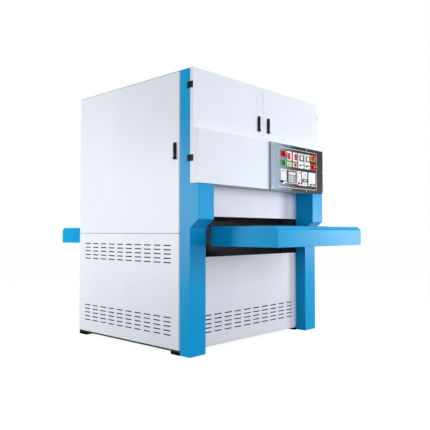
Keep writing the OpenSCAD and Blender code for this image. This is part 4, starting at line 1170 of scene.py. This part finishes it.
    def square_plates(self) -> None:
        """The coloured squares behind the selectors, the emergency stop and the isolator."""
        squares = [("red_selector_plate", 0.107, 0.867, 0.127, 0.156, RED_PLASTIC),
                   ("green_selector_plate", 0.107, 0.626, 0.127, 0.156, PALE_GREEN),
                   ("emergency_stop_plate", 0.906, 0.867, 0.138, 0.159, YELLOW_PLASTIC),
                   ("isolator_plate", 0.906, 0.626, 0.138, 0.159, RED_PLASTIC)]
        for name, x, z, w, h, finish in squares:
            tile = self.tile(name, x, z, w, h, 0, self.frame_t, 2 * MM)
            spot = self.spot(x, z)
            drill(tile, spot.x, spot.z, self.stem_r)
            self.place(tile, finish)

    def pointers(self) -> None:
        """White pointer lines on the grips of the two selectors."""
        half_w, half_t, end, corner, edge = 2.4 * MM, 0.4 * MM, 2 * MM, 1.2 * MM, 0.15 * MM
        for node in ("red_selector", "green_selector"):
            low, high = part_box(node)
            middle = (low + high) / 2
            line = plate(node + "_pointer", (middle.x - half_w, low.y - half_t, middle.z - end),
                         (middle.x + half_w, low.y + half_t, high.z - end), corner, edge)
            dress(line, INSTRUMENT_WHITE, self.machine.body_of(node), "instrument")

    def displays(self) -> None:
        """Two red numeral displays: their windows, and seven-segment figures of lying and upright bars."""
        lit = {"0": "abcdef", "1": "bc", "2": "abdeg", "5": "acdfg", "8": "abcdefg"}
        half_w, half_h, bar = self.figure_h * 0.26, self.figure_h * 0.5, self.figure_h * 0.09
        lying_share, upright_share, bar_t, steps_in_window = 0.8, 0.42, 0.3 * MM, 3.4
        lying = {"a": (0, half_h), "d": (0, -half_h), "g": (0, 0)}
        upright = {"b": (half_w, half_h / 2), "c": (half_w, -half_h / 2), "e": (-half_w, -half_h / 2),
                   "f": (-half_w, half_h / 2)}
        windows, centres = [], []
        for x, z, w, h, figures in ((0.24, 0.82, 0.069, 0.172, "120"), (0.420, 0.824, 0.067, 0.172, "082")):
            windows.append(self.tile("window", x, z, w, h, self.seat, self.glass, 1 * MM))
            step = w * self.field_w / steps_in_window
            spot = self.spot(x, z, self.glass + self.print_t)
            centres += [(spot + Vector(((i - 1) * step, 0, 0)), figure) for i, figure in enumerate(figures)]
        bars, lift = [], Vector((0, bar_t, 0))
        for places, half in ((lying, Vector((half_w * lying_share, 0, bar / 2))),
                             (upright, Vector((bar / 2, 0, half_h * upright_share)))):
            spots = [centre + Vector((places[name][0], 0, places[name][1]))
                     for centre, figure in centres for name in lit[figure] if name in places]
            bars += repeated(plate("bar", spots[0] - half - lift, spots[0] + half, 0, self.fine_edge), spots)
        self.place(joined("numeral_windows", windows), LED_WINDOW)
        self.place(joined("numeral_figures", bars), LED_DIGITS)

    def meters(self) -> None:
        """Two analogue meters: dark bezels, white dials, scale marks and needles."""
        bezels, dials, needles, tips, feet = [], [], [], [], []
        dial_w, dial_h, foot_share, reach_share, needle_share = 0.58, 0.7, 0.3, 0.42, 0.86
        side_marks, degrees = 4, 9
        mark_w, mark_h, mark_t = 0.3 * MM, 1.6 * MM, 0.2 * MM
        needle_w, post_w, post_h, needle_t = 0.5 * MM, 4 * MM, 2 * MM, 0.4 * MM
        for x, z, w, h in ((0.575, 0.82, 0.105, 0.17), (0.755, 0.82, 0.12, 0.163)):
            bezels.append(self.tile("bezel", x, z, w, h, self.seat, self.bezel, 5 * MM))
            dials.append(self.tile("dial", x, z, w * dial_w, h * dial_h, self.glass, self.face, 3 * MM))
            foot = self.spot(x, z, self.face + self.print_t) - Vector((0, 0, h * self.field_h * foot_share))
            reach = h * self.field_h * reach_share
            leans = [math.radians(i * degrees) for i in range(-side_marks, side_marks + 1)]
            tips += [foot + Vector((math.sin(lean), 0, math.cos(lean))) * reach for lean in leans]
            needles.append(plate("needle", foot - Vector((needle_w, needle_t, 0)),
                                 foot + Vector((needle_w, 0, reach * needle_share)), 0, self.fine_edge))
            feet.append(foot)
        mark = plate("mark", tips[0] - Vector((mark_w, mark_t, mark_h)), tips[0] + Vector((mark_w, 0, mark_h)),
                     0, self.fine_edge / 2)
        post = plate("terminal_mark", feet[0] - Vector((post_w, needle_t, post_h)),
                     feet[0] + Vector((post_w, 0, post_h)), 0, self.fine_edge)
        marks = repeated(mark, tips) + needles + repeated(post, feet)
        self.place(joined("meter_bezels", bezels), DARK_BEZEL)
        self.place(joined("meter_dials", dials), DIAL)
        self.place(joined("meter_marks", marks), INK)

    def terminal(self) -> None:
        """The operator terminal: dark frame, grey face, screen and four columns of keys."""
        tiles = (("terminal_frame", (0.310, 0.269, 0.262, 0.336, self.seat, self.bezel, 6 * MM), DARK_BEZEL),
                 ("terminal_face", (0.310, 0.262, 0.187, 0.292, self.glass, self.face, 3 * MM), INSTRUMENT_GREY),
                 ("terminal_screen", (0.315, 0.362, 0.175, 0.063, self.inlay, self.screen, 1 * MM), SCREEN))
        for name, place, finish in tiles:
            self.place(self.tile(name, *place), finish)
        columns = ((0.242, 0.03), (0.285, 0.03), (0.328, 0.03), (0.385, 0.034))
        rows, key_h = (0.285, 0.235, 0.185, 0.138), 0.038
        special = {(3, 0): "green", (3, 2): "blue", (3, 3): "pink", (0, 3): "yellow", (2, 3): "yellow"}
        keys: dict[str, list[bpy.types.Object]] = {}
        for c, (x, width) in enumerate(columns):
            top = self.tile("key", x, rows[0], width, key_h, self.inlay, self.keys, 0.8 * MM)
            for r, key in enumerate(repeated(top, [self.spot(x, z) for z in rows])):
                keys.setdefault(special.get((c, r), "grey"), []).append(key)
        finishes = {"grey": KEY_GREY, "green": KEY_GREEN, "blue": KEY_BLUE, "pink": KEY_PINK, "yellow": KEY_YELLOW}
        for colour, group in keys.items():
            self.place(joined(colour + "_keys", group), finishes[colour])

    def counter(self) -> None:
        """The counter with its dark band and window, and the small printed marks beside it."""
        t = self.frame_t
        band = self.tile("counter_band", 0.668, 0.206, 0.138, 0.096, self.seat, self.bezel, 1 * MM)
        self.place(band, INSTRUMENT_BLACK)
        window = self.tile("counter_window", 0.666, 0.205, 0.08, 0.04, self.glass, self.face, 0.6 * MM)
        self.place(window, LCD_CYAN)
        spots = [self.spot(0.665, 0.29 + i * 0.028) for i in range(5)]
        marks = repeated(self.tile("vent", 0.665, 0.29, 0.09, 0.008, t, self.printed, 0.2 * MM), spots)
        marks += [self.tile("dash", 0.527, 0.2, 0.035, 0.02, t, self.label, 0.5 * MM),
                  self.tile("dash", 0.666, 0.11, 0.09, 0.012, t, self.printed, 0.4 * MM)]
        radius, rise, sides = 4 * MM, 1.2 * MM, 20
        marks += self.buttons("socket", [(0.08, 0.196), (0.872, 0.266), (0.833, 0.196), (0.918, 0.19)], t, radius,
                              rise, sides)
        self.place(joined("printed_marks", marks), INK)
        self.place(self.tile("green_label", 0.08, 0.405, 0.026, 0.05, t, self.label, 0.5 * MM), GREEN_PLASTIC)
        self.place(self.tile("red_label", 0.531, 0.402, 0.028, 0.05, t, self.label, 0.5 * MM), RED_PLASTIC)

    def lamps(self) -> None:
        """Signal lamps and small push buttons with a collar and a crowned lens each, and the isolator's cap."""
        sunk, collar_h, lens_share, lens_h = self.frame_t * 0.5, 3.4 * MM, 0.86, 6.4 * MM
        cap_gap, cap_r, cap_h, handle_h = 0.3 * MM, 8 * MM, 1.2 * MM, 16 * MM
        groups = {
            "green_lamps": (GREEN_LENS, 0.8, [(0.570, 0.625), (0.744, 0.628), (0.114, 0.123), (0.870, 0.12)]),
            "red_lamps": (RED_LENS, 0.8, [(0.641, 0.625), (0.820, 0.628), (0.567, 0.12), (0.957, 0.123)]),
            "blue_buttons": (BLUE_LENS, 0.6, [(0.529, 0.61), (0.706, 0.61), (0.827, 0.106), (0.917, 0.103)]),
            "black_knobs": (INSTRUMENT_BLACK, 0.7, [(0.496, 0.11)])}
        collars = []
        for name, (finish, share, places) in groups.items():
            radius = self.button_r * share
            collars += self.buttons("collar", places, sunk, radius, collar_h)
            lenses = self.buttons("lens", places, self.frame_t, radius * lens_share, lens_h)
            self.place(joined(name, lenses), finish)
        self.place(joined("lamp_collars", collars), BRIGHT_STEEL)
        centre = self.spot(0.906, 0.626, self.frame_t + cap_gap + handle_h)
        hub = domed("isolator_cap", centre, cap_r, cap_h)
        dress(hub, YELLOW_PLASTIC, "isolator_handle", "instrument")

    def bead(self) -> None:
        """The light bead that frames the instruments, with rounded corners."""
        margin_x, margin_z, width, out = 9 * MM, 10 * MM, 3.2 * MM, 1.6 * MM
        corner, edge = 14 * MM, 0.3 * MM
        low = self.spot(0, 0) - Vector((margin_x, out, margin_z))
        high = self.spot(1, 1) + Vector((margin_x, 0, margin_z))
        piece = plate("field_bead", low, high, corner, edge)
        step = Vector((width, -4 * out, width))
        window = plate("window", low + step, high - step, corner - width, 0)
        cut_out(piece, window)
        self.place(piece, INSTRUMENT_WHITE)

    def screws(self) -> None:
        """Ten raised countersunk screws round the edge of the plate, each with a cross recess."""
        low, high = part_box("control_plate")
        inset, end_room = 11 * MM, 5 * MM
        head_r, head_h, sides = 4.6 * MM, 1.8 * MM, 24
        long, short, recess_top, recess_foot = 2.6 * MM, 0.6 * MM, 2.5 * MM, 1.6 * MM
        rows = [low.z + inset + end_room, (low.z + high.z) / 2, high.z - inset - end_room]
        places = [Vector((x, low.y, z)) for x in (low.x + inset, high.x - inset) for z in rows]
        places += [Vector((low.x + (high.x - low.x) * share, low.y, z)) for share in (0.33, 0.66)
                   for z in (low.z + inset, high.z - inset)]
        heads = repeated(domed("head", places[0], head_r, head_h, sides), places)
        slots = []
        for wide, tall in ((long, short), (short, long)):
            slot = plate("slot", places[0] - Vector((wide, recess_top, tall)),
                         places[0] + Vector((wide, -recess_foot, tall)), 0, self.fine_edge)
            slots += repeated(slot, places)
        self.place(joined("plate_screws", heads), BRIGHT_STEEL)
        self.place(joined("screw_recesses", slots), INSTRUMENT_BLACK)


@dataclass(frozen=True)
class Lamp:
    """A soft square lamp that faces the middle of the machine: its place and side in metres, its watts."""

    name: str
    place: tuple[float, float, float]
    side: float
    watts: float

    def build(self) -> None:
        """Adds the lamp."""
        data = bpy.data.lights.new(self.name, "AREA")
        data.size = self.side
        data.energy = self.watts
        lamp = bpy.data.objects.new(self.name, data)
        lamp.location = self.place
        aim = Vector((0, 0, 1)) - Vector(self.place)
        lamp.rotation_euler = aim.to_track_quat("-Z", "Y").to_euler()
        bpy.context.scene.collection.objects.link(lamp)


@dataclass
class Studio:
    """The camera of the photograph, a pale floor and soft light."""

    focal_mm: float = 45.07
    sensor_mm: float = 36.0
    eye: tuple[float, float, float] = (-3.3600, -3.3602, 0.8593)
    yaw: float = 46.95
    pitch: float = 1.825
    clip_end: float = 60
    ambient: float = 0.44
    floor_size: float = 60
    floor_drop: float = 0.5 * MM
    floor_tone: str = "#707174"
    floor_roughness: float = 0.9
    floor_glow: float = 1.06
    glow_share: float = 0.88
    white: str = "#FFFFFF"
    lamps: tuple[Lamp, ...] = (
        Lamp("side_light", (-4.0, 2.5, 1.2), 1.8, 112), Lamp("front_light", (1.5, -4.8, 1.65), 1.9, 79),
        Lamp("corner_light", (-3.8, -4.2, 1.5), 1.6, 38), Lamp("top_light", (-0.5, -2.4, 5.0), 2.5, 26),
        Lamp("rim_light", (3.2, -2.9, 0.9), 0.8, 44))

    def build(self) -> None:
        """Builds the studio."""
        self.camera()
        self.world()
        self.floor()
        for lamp in self.lamps:
            lamp.build()
        bpy.context.scene.view_settings.view_transform = "Standard"

    def camera(self) -> None:
        """Places the camera where the photograph was taken."""
        data = bpy.data.cameras.new("camera")
        data.lens = self.focal_mm
        data.sensor_width = self.sensor_mm
        data.clip_end = self.clip_end
        camera = bpy.data.objects.new("camera", data)
        camera.location = self.eye
        camera.rotation_euler = (math.radians(90 + self.pitch), 0, math.radians(-self.yaw))
        bpy.context.scene.collection.objects.link(camera)
        bpy.context.scene.camera = camera

    def seen(self, tree: bpy.types.NodeTree) -> bpy.types.NodeSocket:
        """A value of 1 for what the camera, a gloss or a glass sees.

        Args:
            tree: the node tree.

        Returns:
            The value's socket.
        """
        path = add_node(tree, "LightPath")
        seen = path.outputs["Is Camera Ray"]
        for ray in ("Is Glossy Ray", "Is Transmission Ray"):
            either = add_node(tree, "Math", {"operation": "MAXIMUM"})
            tree.links.new(seen, either.inputs[0])
            tree.links.new(path.outputs[ray], either.inputs[1])
            seen = either.outputs[0]
        return seen

    def world(self) -> None:
        """A white surround that gives the object an even, lower light."""
        world = bpy.data.worlds.new("surround")
        bpy.context.scene.world = world
        world.use_nodes = True
        tree = world.node_tree
        tree.nodes.clear()
        strength = add_node(tree, "MapRange", None, Value=self.seen(tree), To_Min=self.ambient, To_Max=1.0)
        back = add_node(tree, "Background", None, Color=linear(self.white), Strength=strength.outputs["Result"])
        add_node(tree, "OutputWorld", None, Surface=back.outputs["Background"])

    def floor(self) -> None:
        """A white floor that keeps the machine's soft shadow."""
        bpy.ops.object.select_all(action="DESELECT")
        bpy.ops.mesh.primitive_plane_add(size=self.floor_size, location=(0, 0, -self.floor_drop))
        floor = bpy.context.object
        floor.name = "floor"
        paint = bpy.data.materials.new("floor_paper")
        paint.use_nodes = True
        tree = paint.node_tree
        shader = tree.nodes["Principled BSDF"]
        seen = self.seen(tree)
        tone = add_node(tree, "Mix", {"data_type": "RGBA"}, Factor=seen, A=linear(self.floor_tone),
                        B=linear(self.white))
        tree.links.new(next(s for s in tone.outputs if s.enabled), shader.inputs["Base Color"])
        shader.inputs["Roughness"].default_value = self.floor_roughness
        shader.inputs["Specular IOR Level"].default_value = 0.0
        glow = add_node(tree, "Emission", None, Color=linear(self.white), Strength=self.floor_glow)
        share = add_node(tree, "Math", {"operation": "MULTIPLY"})
        tree.links.new(seen, share.inputs[0])
        share.inputs[1].default_value = self.glow_share
        mixed = add_node(tree, "MixShader", None)
        tree.links.new(share.outputs[0], mixed.inputs[0])
        tree.links.new(shader.outputs[0], mixed.inputs[1])
        tree.links.new(glow.outputs[0], mixed.inputs[2])
        tree.links.new(mixed.outputs[0], tree.nodes["Material Output"].inputs["Surface"])
        floor.data.materials.append(paint)


def main() -> None:
    """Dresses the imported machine."""
    logging.basicConfig(level=logging.INFO)
    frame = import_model()
    machine = Machine(frame["record"])
    Studio().build()
    for part in (Housing(machine), Doors(machine), Conveyor(machine), Heads(machine), ControlPanel(machine)):
        part.build()


if __name__ == "__main__":
    main()
